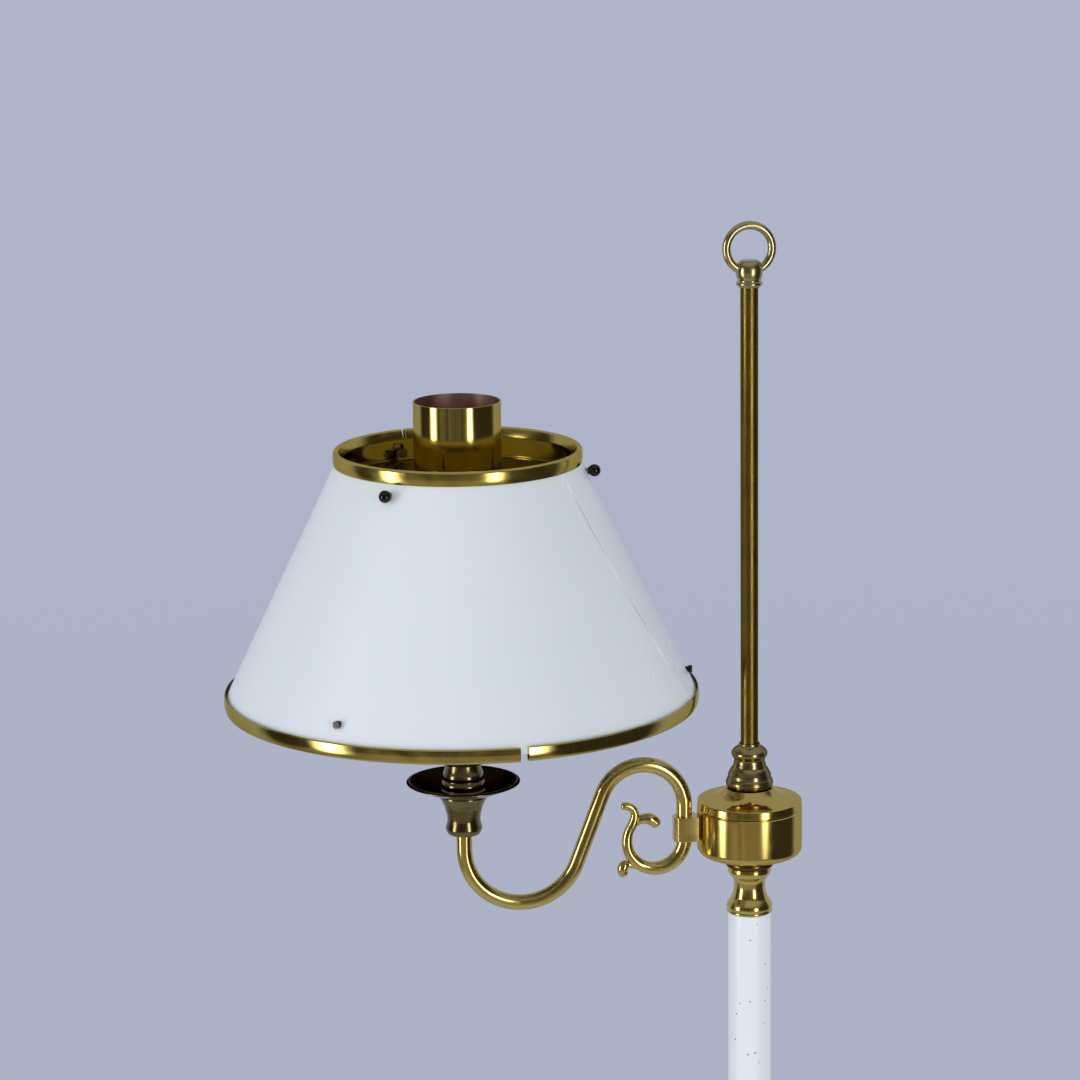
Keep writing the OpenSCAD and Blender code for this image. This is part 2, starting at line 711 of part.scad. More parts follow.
module stop_pin() color(steel) translate([-stop_r, 0, z_hub + hub_wall / 2])
    cylinder(d = stop_pin_d, h = z_stop + stop_h - z_hub - hub_wall / 2);

// Arm

// The clip's plan: a flat strap that folds round the tube in short facets
function clip_side(y) = [
    [hub_r - 2, y], [clip_u + 1, y], [clip_u + clip_half - 2.2, y * 0.82],
    [clip_u + clip_half, y * 0.42]
];

module arm_clip() color(polished) difference() {
    along_arm() translate([0, 0, clip_z - clip_h / 2]) linear_extrude(clip_h)
        polygon(concat(clip_side(-clip_half), reversed(clip_side(clip_half))));
    translate([0, 0, clip_z - clip_h]) cylinder(r = hub_r + fit, h = 2 * clip_h);
    along_arm() translate([clip_u, 0, clip_z - clip_h]) cylinder(r = tube_r + fit, h = 2 * clip_h);
    along_arm() translate([0, 0, clip_z]) rod_x(clip_thread_d + 2 * fit, hub_r / 2, clip_u);
}

module clip_nipple() color(steel) along_arm() translate([0, 0, clip_z]) difference() {
    rod_x(clip_thread_d, clip_nut_u - clip_nut_t - 1, clip_u - tube_bore / 2);
    rod_x(clip_thread_bore, hub_r / 2, clip_u);
}

module clip_nut() color(steel) along_arm() translate([clip_nut_u - clip_nut_t, 0, clip_z])
    rotate([0, 90, 0]) rotate([0, 0, 30]) hex_nut(clip_nut_w, clip_thread_d, clip_nut_t);

// A straight length of the arm tube from the origin up, with its wall thinner by
// slim on both sides
module tube_run(h, slim = 0) ring(tube_r - slim, tube_bore / 2 + slim, h);

// A bend of the arm tube of radius r about the origin, from +X through the angle a
module tube_bend(r, a) rotate([90, 0, 0]) rotate_extrude(angle = a, $fn = 96)
    translate([r, 0]) difference() {
        circle(r = tube_r, $fn = 48);
        circle(d = tube_bore, $fn = 48);
    }

module arm_tube() color(polished) along_arm() {
    difference() {
        translate([clip_u, 0, tube_low]) tube_run(arch_c[1] - tube_low + lap, lap_slim);
        translate([0, 0, clip_z]) rod_x(clip_thread_d + 2 * fit, hub_r, clip_u);
    }
    translate([arch_c[0], 0, arch_c[1]]) rotate([0, -arm_lean, 0]) {
        tube_bend(arch_r, 180 - arm_lean);
        translate([arch_r, 0, -arm_straight]) {
            tube_run(arm_straight);
            translate([bend_r, 0, 0]) rotate([0, 180, 0]) tube_bend(bend_r, 180 - arm_lean);
        }
    }
    translate([arm_reach, 0, bend_c[1] - lap]) tube_run(z_tube - bend_c[1] + lap, lap_slim);
}

// The scroll's main curve from the clip round into its leaf, and its two sprigs,
// from the centre of the scroll
leaf_start = 385;
scroll_main = concat(
    [[-scroll_r, tube_low - scroll_c[1]]],
    arc([0, 0], scroll_r, 180, leaf_start, 28),
    scroll_r * bezier([
        [cos(leaf_start + 4), sin(leaf_start + 4)], [0.61, 0.93], [0.69, 1.32], [1.1, 1.34]
    ], 12)
);
scroll_hook = scroll_r * bezier([
    [cos(32), sin(32)], [0.66, 0.81], [0.2, 0.9], [-0.01, 0.59]
], 12);
scroll_curl = scroll_r * concat(
    bezier([[cos(-66), sin(-66)], [0.65, -0.87], [0.95, -0.8], [1.13, -0.8]], 8),
    arc([1.13, -1.02], 0.22, 80, -30)
);

function unit(v) = v / norm(v);

// A tapering round bar in the arm's plane along the points p, of radius r0 at the
// start and r1 toward the end, where its last quarter swells by bud and is closed by a
// low dome. Its sides are turned by turn, so that the edges of two bars never meet.
module taper(p, r0, r1, bud, turn = 0, sides = 12) {
    last = len(p) - 1;
    tip_r = r1 + bud;
    way = [for (i = [0:last]) unit(p[min(i + 1, last)] - p[max(i - 1, 0)])];
    dome = 3;
    rings = concat(
        [for (i = [0:last]) let (t = i / last)
            [p[i], way[i], r0 + (r1 - r0) * t + bud * pow(max(0, 4 * t - 3), 2)]],
        [for (k = [1:dome]) let (a = 84 * k / dome)
            [p[last] + way[last] * tip_r * 0.6 * sin(a), way[last], tip_r * cos(a)]]
    );
    points = [for (g = rings) for (k = [0:sides - 1]) let (a = turn + 360 * k / sides)
        [g[0][0] - g[1][1] * g[2] * cos(a), g[2] * sin(a), g[0][1] + g[1][0] * g[2] * cos(a)]];
    n = len(rings);
    polyhedron(points, concat(
        [for (k = [1:sides - 2]) [0, k + 1, k]],
        [for (i = [0:n - 2]) for (k = [0:sides - 1]) let (m = (k + 1) % sides)
            [i * sides + k, (i + 1) * sides + m, (i + 1) * sides + k]],
        [for (i = [0:n - 2]) for (k = [0:sides - 1]) let (m = (k + 1) % sides)
            [i * sides + k, i * sides + m, (i + 1) * sides + m]],
        [for (k = [1:sides - 2]) [(n - 1) * sides, (n - 1) * sides + k, (n - 1) * sides + k + 1]]
    ));
}

module arm_scroll() color(polished) along_arm() translate([scroll_c[0], 0, scroll_c[1]]) {
    taper(scroll_main, scroll_thick / 2, scroll_thin * 0.37, scroll_bud);
    taper(scroll_hook, scroll_thin * 0.36, scroll_thin * 0.4, scroll_bud, 8);
    taper(scroll_curl, scroll_thin * 0.4, scroll_thin * 0.4, 2 * scroll_bud, 11);
}

// Cup, drip pan and lamp holder

module lower_cup() color(dark) at_shade() translate([0, 0, z_cup]) turned(concat(
    [[tube_r + fit, 0], [tube_r + 1.4, 0]],
    smooth([
        [tube_r + 1.4, 0],
        [cup_bead_d / 2 - 1.2, 2],
        [cup_bead_d / 2, 5],
        [cup_bead_d / 2 - 0.4, 7.2],
        [cup_neck_d / 2, cup_h * 0.42],
        [cup_neck_d / 2 + 0.5, cup_h * 0.54],
        [(cup_neck_d + cup_top_d) / 4 - 0.1, cup_h * 0.67],
        [cup_top_d / 2 - 1.6, cup_h * 0.83],
        [cup_top_d / 2, cup_h - 1.2]
    ]),
    [[cup_top_d / 2 - 0.4, cup_h], [thread_d / 2 + fit, cup_h]],
    [[thread_d / 2 + fit, tube_seat], [tube_r + fit, tube_seat]]
));

pan_flat_r = cup_top_d / 2;
pan_curve = [
    [pan_flat_r, 0],
    [pan_flat_r + (pan_d / 2 - pan_flat_r) * 0.5, pan_h * 0.16],
    [pan_flat_r + (pan_d / 2 - pan_flat_r) * 0.82, pan_h * 0.5],
    [pan_d / 2 - 0.6, pan_h - 0.6]
];

module drip_pan() color(dark) at_shade() translate([0, 0, z_pan]) turned(concat(
    [[thread_d / 2 + fit, 0]],
    smooth(pan_curve),
    arc([pan_d / 2 - 0.6, pan_h - 0.6], 0.6, -20, 160),
    reversed(raised(smooth([for (q = pan_curve) [q[0] - (q[1] / pan_h) * pan_t, q[1]]]), pan_t)),
    [[thread_d / 2 + fit, pan_t]]
));

module holder_stem() color(dark) at_shade() translate([0, 0, z_stem]) turned(concat(
    [[thread_d / 2 + fit, 0], [stem_d / 2 - 1.4, 0]],
    smooth([
        [stem_d / 2 - 1.4, 0],
        [stem_d / 2 - 1.2, 1.6],
        [stem_d / 2, stem_h * 0.26],
        [stem_d / 2 - 1, stem_h * 0.42],
        [stem_waist_d / 2 + 0.4, stem_h * 0.6],
        [stem_waist_d / 2, stem_h * 0.74],
        [stem_waist_d / 2 + 0.9, stem_h * 0.88],
        [stem_waist_d / 2 + 2.4, stem_h]
    ]),
    [[thread_d / 2 + fit, stem_h]]
));

module holder_nipple() color(steel) at_shade() difference() {
    union() {
        translate([0, 0, z_tube]) cylinder(d = thread_d, h = nipple_top - z_tube);
        translate([0, 0, z_spigot]) cylinder(r = tube_bore / 2 - fit, h = z_tube - z_spigot + past);
    }
    translate([0, 0, z_spigot - past]) cylinder(d = tube_bore - 2, h = nipple_top - z_spigot + 2 * past);
}

module holder_cap() color(black) at_shade() difference() {
    translate([0, 0, z_cap]) turned(concat(
        [[thread_d / 2 + fit, 0], [stem_waist_d / 2 + 3, 0]],
        smooth([[stem_waist_d / 2 + 3, 0], [holder_r - 4, 3], [holder_r - 1, 7], [holder_r, 12]]),
        [[holder_r, cap_h], [holder_in_r, cap_h], [holder_in_r, 11]],
        [[holder_in_r - 4, nipple_top - z_cap], [thread_d / 2 + fit, nipple_top - z_cap]]
    ));
    translate([0, 0, bar_z]) rotate([0, 0, 90]) rod_x(bar_d + 2 * run, -holder_d, holder_d);
}

module holder_skirt() color(black) at_shade() translate([0, 0, z_skirt]) difference() {
    ring(holder_r, shell_r + 2, skirt_h);
    translate([0, 0, -past]) cylinder(r = holder_in_r + fit, h = core_h + past);
}

module contact_block() color(ceramic) at_shade() translate([0, 0, z_skirt]) difference() {
    cylinder(r = holder_in_r, h = core_h);
    for (side = [-1, 1]) translate([side * wire_x, 0, -past])
        cylinder(d = wire_hole_d, h = core_h + 2 * past);
}

module centre_contact() color(polished) at_shade() translate([0, 0, z_core])
    cylinder(d = contact_d, h = contact_t);

module screw_shell() color(polished) at_shade() translate([0, 0, z_core]) difference() {
    ring(shell_r, shell_bore / 2, skirt_h - core_h - 2);
    translate([-shell_bore, -shell_slot / 2, -past]) cube([2 * shell_bore, shell_slot, 3]);
}

module shade_nuts() color(black) at_shade()
    for (z = [z_shade_nut, z_spider + spider_t])
        translate([0, 0, z]) ring(shade_nut_d / 2, holder_r + fit, shade_nut_t);

// The spider: a washer gripped by the ring nuts, and arms that turn up at the shade
module shade_spider() color(rimmed) {
    at_shade() difference() {
        translate([0, 0, z_spider]) cylinder(d = shade_nut_d, h = spider_t);
        translate([0, 0, z_spider - past]) cylinder(r = holder_r + fit, h = spider_t + 2 * past);
    }
    round_shade() {
        translate([shade_nut_d / 2 - 2, -spider_w / 2, z_spider])
            cube([tab_in + spider_t - shade_nut_d / 2 + 2, spider_w, spider_t]);
        difference() {
            translate([tab_in, -spider_w / 2, z_spider])
                cube([spider_t, spider_w, z_screw + 5 - z_spider]);
            translate([0, 0, z_screw]) rod_x(stud_d + 2 * fit, tab_in - past, tab_in + spider_t + past);
        }
    }
}

// Shade

module shade_cone() color(white) difference() {
    at_shade() turned([
        [cone_out(z_low + rim_seat), z_low + rim_seat], [cone_out(z_cone_top), z_cone_top],
        [cone_in(z_cone_top), z_cone_top], [cone_in(z_low + rim_seat), z_low + rim_seat]
    ]);
    round_shade() translate([0, 0, z_stud]) rod_x(stud_d + 2 * fit, chimney_r, low_r);
    round_shade() translate([0, 0, z_screw]) rod_x(stud_d + 2 * fit, chimney_r, low_r);
}

// A slot through a rim at angle a, where the band's two ends meet
module split(r, a, w, z, h) rotate([0, 0, a]) translate([r - 10, -w / 2, z]) cube([20, w, h]);

module lower_rim() color(rimmed) at_shade() difference() {
    turned(concat(
        arc([low_r - 1.2, z_low + 1.2], 1.2, -90, 0),
        [[low_r, z_low + low_rim_h - 0.8], [low_r - 0.8, z_low + low_rim_h]],
        [[low_r - rim_t, z_low + low_rim_h - rim_t], [low_r - rim_t, z_low + rim_t]],
        [[low_r - low_rim_w + rim_t, z_low + rim_t], [low_r - low_rim_w + rim_t, z_low + rim_seat - 1]],
        [[low_r - low_rim_w, z_low + rim_seat - 1], [low_r - low_rim_w, z_low]]
    ));
    split(low_r, low_split_angle, low_split, z_low - past, low_rim_h + 2 * past);
}

module upper_rim() color(rimmed) at_shade() difference() {
    turned(concat(
        [[up_r - rim_t, z_up], [up_r, z_up]],
        arc([up_r - up_rim_w / 2, z_top - up_rim_w / 2], up_rim_w / 2, 0, 180, 2 * arc_n),
        [[up_r - up_rim_w, z_cone_top + 0.6], [up_r - up_rim_w + rim_t, z_cone_top + 0.6]],
        arc([up_r - up_rim_w / 2, z_top - up_rim_w / 2], up_rim_w / 2 - rim_t, 180, 0)
    ));
    split(up_r, up_split_angle, up_split, z_up - past, up_rim_h + 2 * past);
}

module top_plate() color(olive) at_shade() difference() {
    turned([
        [chimney_r + fit, z_plate - plate_t],
        [cone_in(z_plate - plate_t) - fit - plate_t, z_plate - plate_t],
        [cone_in(z_plate) - fit, z_plate],
        [cone_in(z_flange) - fit, z_flange],
        [cone_in(z_flange) - fit - flange_t, z_flange],
        [cone_in(z_plate) - fit - flange_t, z_plate],
        [chimney_r + fit, z_plate]
    ]);
    for (i = [0:arms - 1]) rotate([0, 0, stud_angle + i * 360 / arms])
        translate([0, 0, z_stud]) rod_x(stud_d + 2 * fit, chimney_r, low_r);
}

module chimney() color(rimmed) at_shade() {
    translate([0, 0, z_plate - plate_t])
        ring(chimney_r, chimney_r - chimney_wall, z_top + chimney_rise - z_plate + plate_t);
    translate([0, 0, z_plate - plate_t - chimney_wall])
        ring(chimney_r + chimney_flange, chimney_r - chimney_wall, chimney_wall);
}

module ball_nuts() color(black) round_shade() translate([0, 0, z_stud]) difference() {
    union() {
        translate([ball_r, 0, 0]) sphere(d = ball_d, $fn = 48);
        rod_x(ball_neck_d, ball_r - ball_d / 2, ball_r);
    }
    rod_x(stud_d + 2 * fit, 0, ball_r + 1);
}

module ball_studs() color(olive) round_shade() translate([0, 0, z_stud])
    rod_x(stud_d, stud_in - nut_t - 1.5, ball_r + 1 - fit);

module stud_nuts() color(olive) round_shade() translate([stud_in - nut_t, 0, z_stud])
    rotate([0, 90, 0]) hex_nut(nut_w, stud_d, nut_t);

screw_seat = cone_out(z_screw - screw_head_d / 2) + 0.1;

module rim_screws() color(dark) round_shade() translate([0, 0, z_screw]) difference() {
    union() {
        rod_x(stud_d, tab_in - nut_t - 1, screw_seat + screw_head_h / 2);
        rod_x(screw_head_d, screw_seat, screw_seat + screw_head_h);
    }
    translate([screw_seat + screw_head_h - 0.8, -screw_head_d, -0.4])
        cube([screw_head_h, 2 * screw_head_d, 0.8]);
}

module rim_nuts() color(olive) round_shade() translate([tab_in - nut_t, 0, z_screw])
    rotate([0, 90, 0]) hex_nut(nut_w, stud_d, nut_t);

// Bulb and switch

module bulb_cap() color(steel) at_shade() translate([0, 0, z_contact]) turned([
    [0, 0], [6, 0], [bulb_cap_r - 1, 4], [bulb_cap_r, 5], [bulb_cap_r, bulb_cap_h],
    [bulb_neck_d / 2 + fit, bulb_cap_h], [bulb_neck_d / 2 + fit, bulb_cap_h - bulb_seat],
    [0, bulb_cap_h - bulb_seat]
]);

// The bulb's outer line, drawn in by the depth t
function bulb_line(t) = concat(
    smooth([
        [bulb_neck_d / 2 - t, 0], [bulb_neck_d / 2 + 0.6 - t, 8],
        [bulb_r * 0.58 - t, bulb_rise * 0.44],
        [(bulb_r - t) * cos(-30), bulb_rise + (bulb_r - t) * sin(-30)]
    ]),
    arc([0, bulb_rise], bulb_r - t, -24, 90, 2 * arc_n)
);

module bulb_glass() color([0.95, 0.95, 0.92, 0.6]) at_shade() translate([0, 0, z_bulb]) turned(concat(
    [[bulb_neck_d / 2, -bulb_seat]],
    bulb_line(0),
    reversed(bulb_line(bulb_wall)),
    [[bulb_neck_d / 2 - bulb_wall, -bulb_seat]]
));

// The bar's long end is toward -Y, and a push moves it by its travel toward +Y
module switch_bar() color(ceramic) at_shade() translate([0, 0, bar_z]) rotate([0, 0, 90]) {
    rod_x(bar_d, -bar_end - bar_travel, bar_end);
    rod_x(bar_knob_d, -bar_end - bar_travel - bar_knob_t, -bar_end - bar_travel);
    rod_x(bar_knob_d, bar_end, bar_end + bar_knob_t);
}

base_pad();
base_weight();
base_cover();
base_collar();
cord_gland();
foot_nipple();
foot_washer();
foot_nut();
foot_plug();
pole();
top_plug();
lower_bobbin();
thrust_washer();
pivot_tube();
pivot_sleeve();
stop_collar();
collar_screw();
upper_bobbin();
upper_rod();
finial();
carry_ring();
hub_body();
hub_lid();
lid_screw();
lower_bush();
upper_bush();
stop_pin();
arm_clip();
clip_nipple();
clip_nut();
arm_tube();
arm_scroll();
lower_cup();
drip_pan();
holder_stem();
holder_nipple();
holder_cap();
holder_skirt();
contact_block();
centre_contact();
screw_shell();
shade_nuts();
shade_spider();
shade_cone();
lower_rim();
upper_rim();
top_plate();
chimney();
ball_nuts();
ball_studs();
stud_nuts();
rim_screws();
rim_nuts();
bulb_cap();
bulb_glass();
switch_bar();
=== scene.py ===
"""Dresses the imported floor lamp: turned brass, a bent tube, a cast scroll and a lapped cone shade."""

import json
import logging
import math
from collections.abc import Callable
from dataclasses import dataclass
from enum import Enum
from typing import Any

import bmesh
import bpy
from mathutils import Matrix, Vector


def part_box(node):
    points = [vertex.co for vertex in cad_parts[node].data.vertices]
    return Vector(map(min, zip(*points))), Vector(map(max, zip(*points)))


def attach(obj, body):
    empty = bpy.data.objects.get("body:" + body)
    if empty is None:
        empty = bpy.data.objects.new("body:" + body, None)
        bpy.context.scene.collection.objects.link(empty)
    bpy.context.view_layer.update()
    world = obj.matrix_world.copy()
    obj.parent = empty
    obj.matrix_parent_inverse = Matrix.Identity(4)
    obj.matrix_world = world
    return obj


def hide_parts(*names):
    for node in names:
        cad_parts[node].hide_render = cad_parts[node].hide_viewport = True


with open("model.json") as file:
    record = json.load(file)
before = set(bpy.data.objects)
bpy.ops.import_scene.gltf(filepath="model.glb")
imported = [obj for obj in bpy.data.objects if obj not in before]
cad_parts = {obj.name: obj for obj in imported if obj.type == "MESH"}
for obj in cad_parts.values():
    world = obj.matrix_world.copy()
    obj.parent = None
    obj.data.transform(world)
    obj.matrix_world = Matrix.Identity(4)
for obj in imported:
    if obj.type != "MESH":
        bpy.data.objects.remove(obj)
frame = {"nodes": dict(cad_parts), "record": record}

LOG = logging.getLogger("lamp")
MM = 0.001
TINY = 1e-4
# Gap between pieces that fit into each other, in millimetres
PLAY = 0.05
# Turns that are rounded, that show as a crease, and that show as a crease on the CAD shapes
HARD_TURN = math.radians(22)
SHARP_TURN = math.radians(48)
CAD_TURN = math.radians(30)
# Share of a side that a rounded corner takes at most, and where the flat starts beyond it
ROUNDED_SHARE = 0.4
FLAT_START = 1.2
# Curve of an edge that starts to wear, and how much more of it wears fully
EDGE_START = 0.4
EDGE_SPAN = 2.5

Point = tuple[float, float]
Outline = list[Point]
Place = tuple[float, float, float]
Colour = tuple[float, float, float]
Bend = Callable[[float, float, float], Point]

SLOT_OF = {part["node"]: part["material_slot"] for part in frame["record"]["subparts"]}
BODY_OF = {node: body for body, nodes in frame["record"]["behaviour"]["bodies"].items() for node in nodes}


# Outlines, in millimetres

def levels(node: str) -> Point:
    """The lowest and highest level of a CAD node, in millimetres."""
    low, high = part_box(node)
    return low.z / MM, high.z / MM


def middle(node: str) -> Point:
    """The centre of a CAD node in plan, in millimetres."""
    low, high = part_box(node)
    return (low.x + high.x) / 2 / MM, (low.y + high.y) / 2 / MM


def on_arc(centre: Point, radius: float, start: float, end: float, steps: int = 12) -> Outline:
    """Points of an arc.

    Args:
        centre: The arc's centre.
        radius: Its radius.
        start: The angle of its first point, in degrees.
        end: The angle of its last point, in degrees.
        steps: How many chords it has.

    Returns:
        The points in order.
    """
    angles = [math.radians(start + (end - start) * k / steps) for k in range(steps + 1)]
    return [(centre[0] + radius * math.cos(a), centre[1] + radius * math.sin(a)) for a in angles]


def through(points: Outline, steps: int = 10) -> Outline:
    """Points of a smooth curve through given points.

    Args:
        points: The points that the curve passes through.
        steps: How many chords lie between two of them.

    Returns:
        The curve's points in order.
    """
    last = len(points) - 1
    curve = []
    for k in range(last):
        a, b, c, d = (Vector(points[min(max(i, 0), last)]) for i in range(k - 1, k + 3))
        for t in (i / steps for i in range(steps)):
            cubic = (3 * b - a - 3 * c + d) * t ** 3
            curve.append(tuple(0.5 * (2 * b + (c - a) * t + (2 * a - 5 * b + 4 * c - d) * t * t + cubic)))
    return curve + [points[-1]]


def handles(points: Outline, steps: int) -> Outline:
    """Points of a cubic curve between two end points with two handles.

    Args:
        points: The first end, its handle, the second end's handle and the second end.
        steps: How many chords the curve has.

    Returns:
        The curve's points in order.
    """
    a, b, c, d = (Vector(p) for p in points)
    shares = [k / steps for k in range(steps + 1)]
    return [tuple(a * (1 - t) ** 3 + b * 3 * t * (1 - t) ** 2 + c * 3 * t * t * (1 - t) + d * t ** 3)
            for t in shares]


def rounded(outline: Outline, radius: float = 0.3, steps: int = 4) -> Outline:
    """Rounds the hard corners of a closed outline, with a point on each side that keeps the flats flat.

    Args:
        outline: The outline's points.
        radius: The rounding, made smaller where a side is too short for it.
        steps: How many chords a rounded corner has.

    Returns:
        The new outline.
    """
    spots = [Vector(p) for p in outline]
    corners = [spot for k, spot in enumerate(spots) if (spot - spots[k - 1]).length > TINY]
    line = []
    for k, corner in enumerate(corners):
        back = corners[k - 1] - corner
        ahead = corners[(k + 1) % len(corners)] - corner
        turn = math.pi - back.angle(ahead)
        if turn < HARD_TURN or corner.x < TINY:
            line.append(corner)
            continue
        reach = min(radius * math.tan(turn / 2), ROUNDED_SHARE * back.length, ROUNDED_SHARE * ahead.length)
        start = corner + back.normalized() * reach
        end = corner + ahead.normalized() * reach
        line.append(corner + back.normalized() * reach * FLAT_START)
        for t in (s / steps for s in range(steps + 1)):
            line.append(start * (1 - t) ** 2 + corner * 2 * t * (1 - t) + end * t * t)
        line.append(corner + ahead.normalized() * reach * FLAT_START)
    return [tuple(p) for p in line]


def lifted(outline: Outline, height: float) -> Outline:
    """The outline raised by a height."""
    return [(r, z + height) for r, z in outline]


def ease(share: float) -> float:
    """A share from 0 to 1 that starts and ends gently."""
    t = min(max(share, 0.0), 1.0)
    return t * t * (3 - 2 * t)


# Meshes

def make_mesh(name: str, points: list[Place], faces: list[tuple[int, ...]],
              edge: list[float] | None = None) -> bpy.types.Object:
    """Makes an object with smooth shading.

    Args:
        name: The object's name.
        points: Its points, in millimetres.
        faces: Its faces, as indices of points.
        edge: How sharply the surface turns at each point, from 0 to 1.

    Returns:
        The object, in the scene.
    """
    mesh = bpy.data.meshes.new(name)
    mesh.from_pydata([(x * MM, y * MM, z * MM) for x, y, z in points], [], faces)
    if edge:
        mesh.attributes.new("edge", "FLOAT", "POINT").data.foreach_set("value", edge)
    shell = bmesh.new()
    shell.from_mesh(mesh)
    bmesh.ops.remove_doubles(shell, verts=shell.verts, dist=TINY * MM)
    bmesh.ops.dissolve_degenerate(shell, edges=shell.edges, dist=TINY * MM)
    shell.to_mesh(mesh)
    shell.free()
    return place_mesh(name, mesh)


def place_mesh(name: str, mesh: bpy.types.Mesh) -> bpy.types.Object:
    """Puts a mesh in the scene as an object with smooth shading.

    Args:
        name: The object's name.
        mesh: Its mesh.

    Returns:
        The object.
    """
    mesh.polygons.foreach_set("use_smooth", [True] * len(mesh.polygons))
    mesh.set_sharp_from_angle(angle=SHARP_TURN)
    piece = bpy.data.objects.new(name, mesh)
    bpy.context.scene.collection.objects.link(piece)
    return piece


def edge_turns(line: Outline) -> list[float]:
    """Measures how sharply each point of a closed outline turns outward.

    Args:
        line: The outline, with its inside on the left.

    Returns:
        A value from 0 to 1 for each point.
    """
    turns = []
    for k, at in enumerate(line):
        back = Vector(at) - Vector(line[k - 1])
        ahead = Vector(line[(k + 1) % len(line)]) - Vector(at)
        spread = (back.length + ahead.length) / 2
        curve = math.atan2(back.cross(ahead), back.dot(ahead)) / max(spread, TINY)
        turns.append(min(max((curve - EDGE_START) / EDGE_SPAN, 0.0), 1.0))
    return turns


def lathe(name: str, outline: Outline, centre: Point = (0.0, 0.0), sides: int = 160,
          sweep_from: float = 0.0, sweep_to: float = 360.0, bend: Bend | None = None,
          lean: float = 0.0) -> bpy.types.Object:
    """Turns a closed outline about an upright axis.

    Args:
        name: The object's name.
        outline: Points of radius and height.
        centre: Where the axis is in plan.
        sides: How many steps the turn has.
        sweep_from: The angle where the turn starts, in degrees.
        sweep_to: The angle where it ends. Less or more than a whole turn leaves two capped ends.
        bend: Gives the radius and height of a point from its angle, radius and height.
        lean: How far the outline's top is turned on from its foot, in degrees.

    Returns:
        The object.
    """
    heights = [z for _, z in outline]
    foot, rise = min(heights), max(heights) - min(heights)
    area = sum(a[0] * b[1] - b[0] * a[1] for a, b in zip(outline, outline[1:] + outline[:1]))
    line = outline if area > 0 else outline[::-1]
    count = len(line)
    whole = sweep_to - sweep_from == 360.0
    rows = sides if whole else sides + 1
    points = []
    for row in range(rows):
        angle = sweep_from + (sweep_to - sweep_from) * row / sides
        for r, z in line:
            radius, height = bend(angle, r, z) if bend else (r, z)
            way = math.radians(angle + lean * (z - foot) / rise) if lean else math.radians(angle)
            points.append((centre[0] + radius * math.cos(way), centre[1] + radius * math.sin(way), height))
    faces: list[tuple[int, ...]] = []
    for row in range(sides):
        here, there = row * count, (row + 1) % rows * count
        for i in range(count):
            m = (i + 1) % count
            faces.append((here + i, there + i, there + m, here + m))
    if not whole:
        faces.append(tuple(range(count)))
        faces.append(tuple(reversed(range(sides * count, rows * count))))
    return make_mesh(name, points, faces, edge_turns(line) * rows)


def bar(name: str, path: Outline, radii: list[float], sides: int = 40,
        closed: bool = False) -> bpy.types.Object:
    """Sweeps a round bar along a path in the upright plane through the pole and the shade.

    Args:
        name: The object's name.
        path: Points of distance along X and height.
        radii: The bar's radius at each point.
        sides: How many sides the bar has.
        closed: Whether the path's last point joins its first.

    Returns:
        The object.
    """
    count = len(path)
    points, faces = [], []
    for k, (x, z) in enumerate(path):
        before = path[k - 1] if closed else path[max(k - 1, 0)]
        after = path[(k + 1) % count] if closed else path[min(k + 1, count - 1)]
        way = (Vector(after) - Vector(before)).normalized()
        for s in range(sides):
            a = math.tau * s / sides
            out = radii[k] * math.cos(a)
            points.append((x - way.y * out, -radii[k] * math.sin(a), z + way.x * out))
    for k in range(count if closed else count - 1):
        here, there = k * sides, (k + 1) % count * sides
        for s in range(sides):
            m = (s + 1) % sides
            faces.append((here + s, here + m, there + m, there + s))
    if not closed:
        faces.append(tuple(reversed(range(sides))))
        faces.append(tuple(range((count - 1) * sides, count * sides)))
    return make_mesh(name, points, faces)


def joined(name: str, pieces: list[bpy.types.Object]) -> bpy.types.Object:
    """Joins pieces into one object and removes them.

    Args:
        name: The new object's name.
        pieces: The pieces, each at the origin.

    Returns:
        The new object.
    """
    shell = bmesh.new()
    for piece in pieces:
        shell.from_mesh(piece.data)
        bpy.data.objects.remove(piece)
    mesh = bpy.data.meshes.new(name)
    shell.to_mesh(mesh)
    shell.free()
    return place_mesh(name, mesh)


def cast(piece: bpy.types.Object, voxel: float, smoothing: int) -> bpy.types.Object:
    """Melts crossing bars into one skin with soft joins, as a casting has.

    Args:
        piece: The piece whose parts cross each other.
        voxel: The grain of the new skin, in millimetres.
        smoothing: How many rounds soften it.

    Returns:
        The new object, under the same name.
    """
    remesh = piece.modifiers.new("skin", "REMESH")
    remesh.mode = "VOXEL"
    remesh.voxel_size = voxel * MM
    soften = piece.modifiers.new("soften", "SMOOTH")
    soften.factor = 0.5
    soften.iterations = smoothing
    name = piece.name
    mesh = bpy.data.meshes.new_from_object(piece.evaluated_get(bpy.context.evaluated_depsgraph_get()))
    bpy.data.objects.remove(piece)
    return place_mesh(name, mesh)


def turned_round(piece: bpy.types.Object, centre: Place, heading: float) -> bpy.types.Object:
    """Lays a piece that was turned about an upright axis along a level direction.

    Args:
        piece: The piece, with its axis on the origin's upright.
        centre: Where its origin goes, in millimetres.
        heading: The angle in plan that its upright turns to, in degrees.

    Returns:
        The same piece.
    """
    tip = Matrix.Rotation(math.radians(90), 4, "Y")
    spin = Matrix.Rotation(math.radians(heading), 4, "Z")
    piece.data.transform(Matrix.Translation(Vector(centre) * MM) @ spin @ tip)
    return piece


# Shared effects of the finishes

class Effect(Enum):
    """The effects that several finishes share."""

    TARNISH = "tarnish"
    SMUDGE = "smudge"
    LINES = "polish_lines"
    WEAR = "edge_wear"
    DUST = "dust"
    CHIPS = "chips"


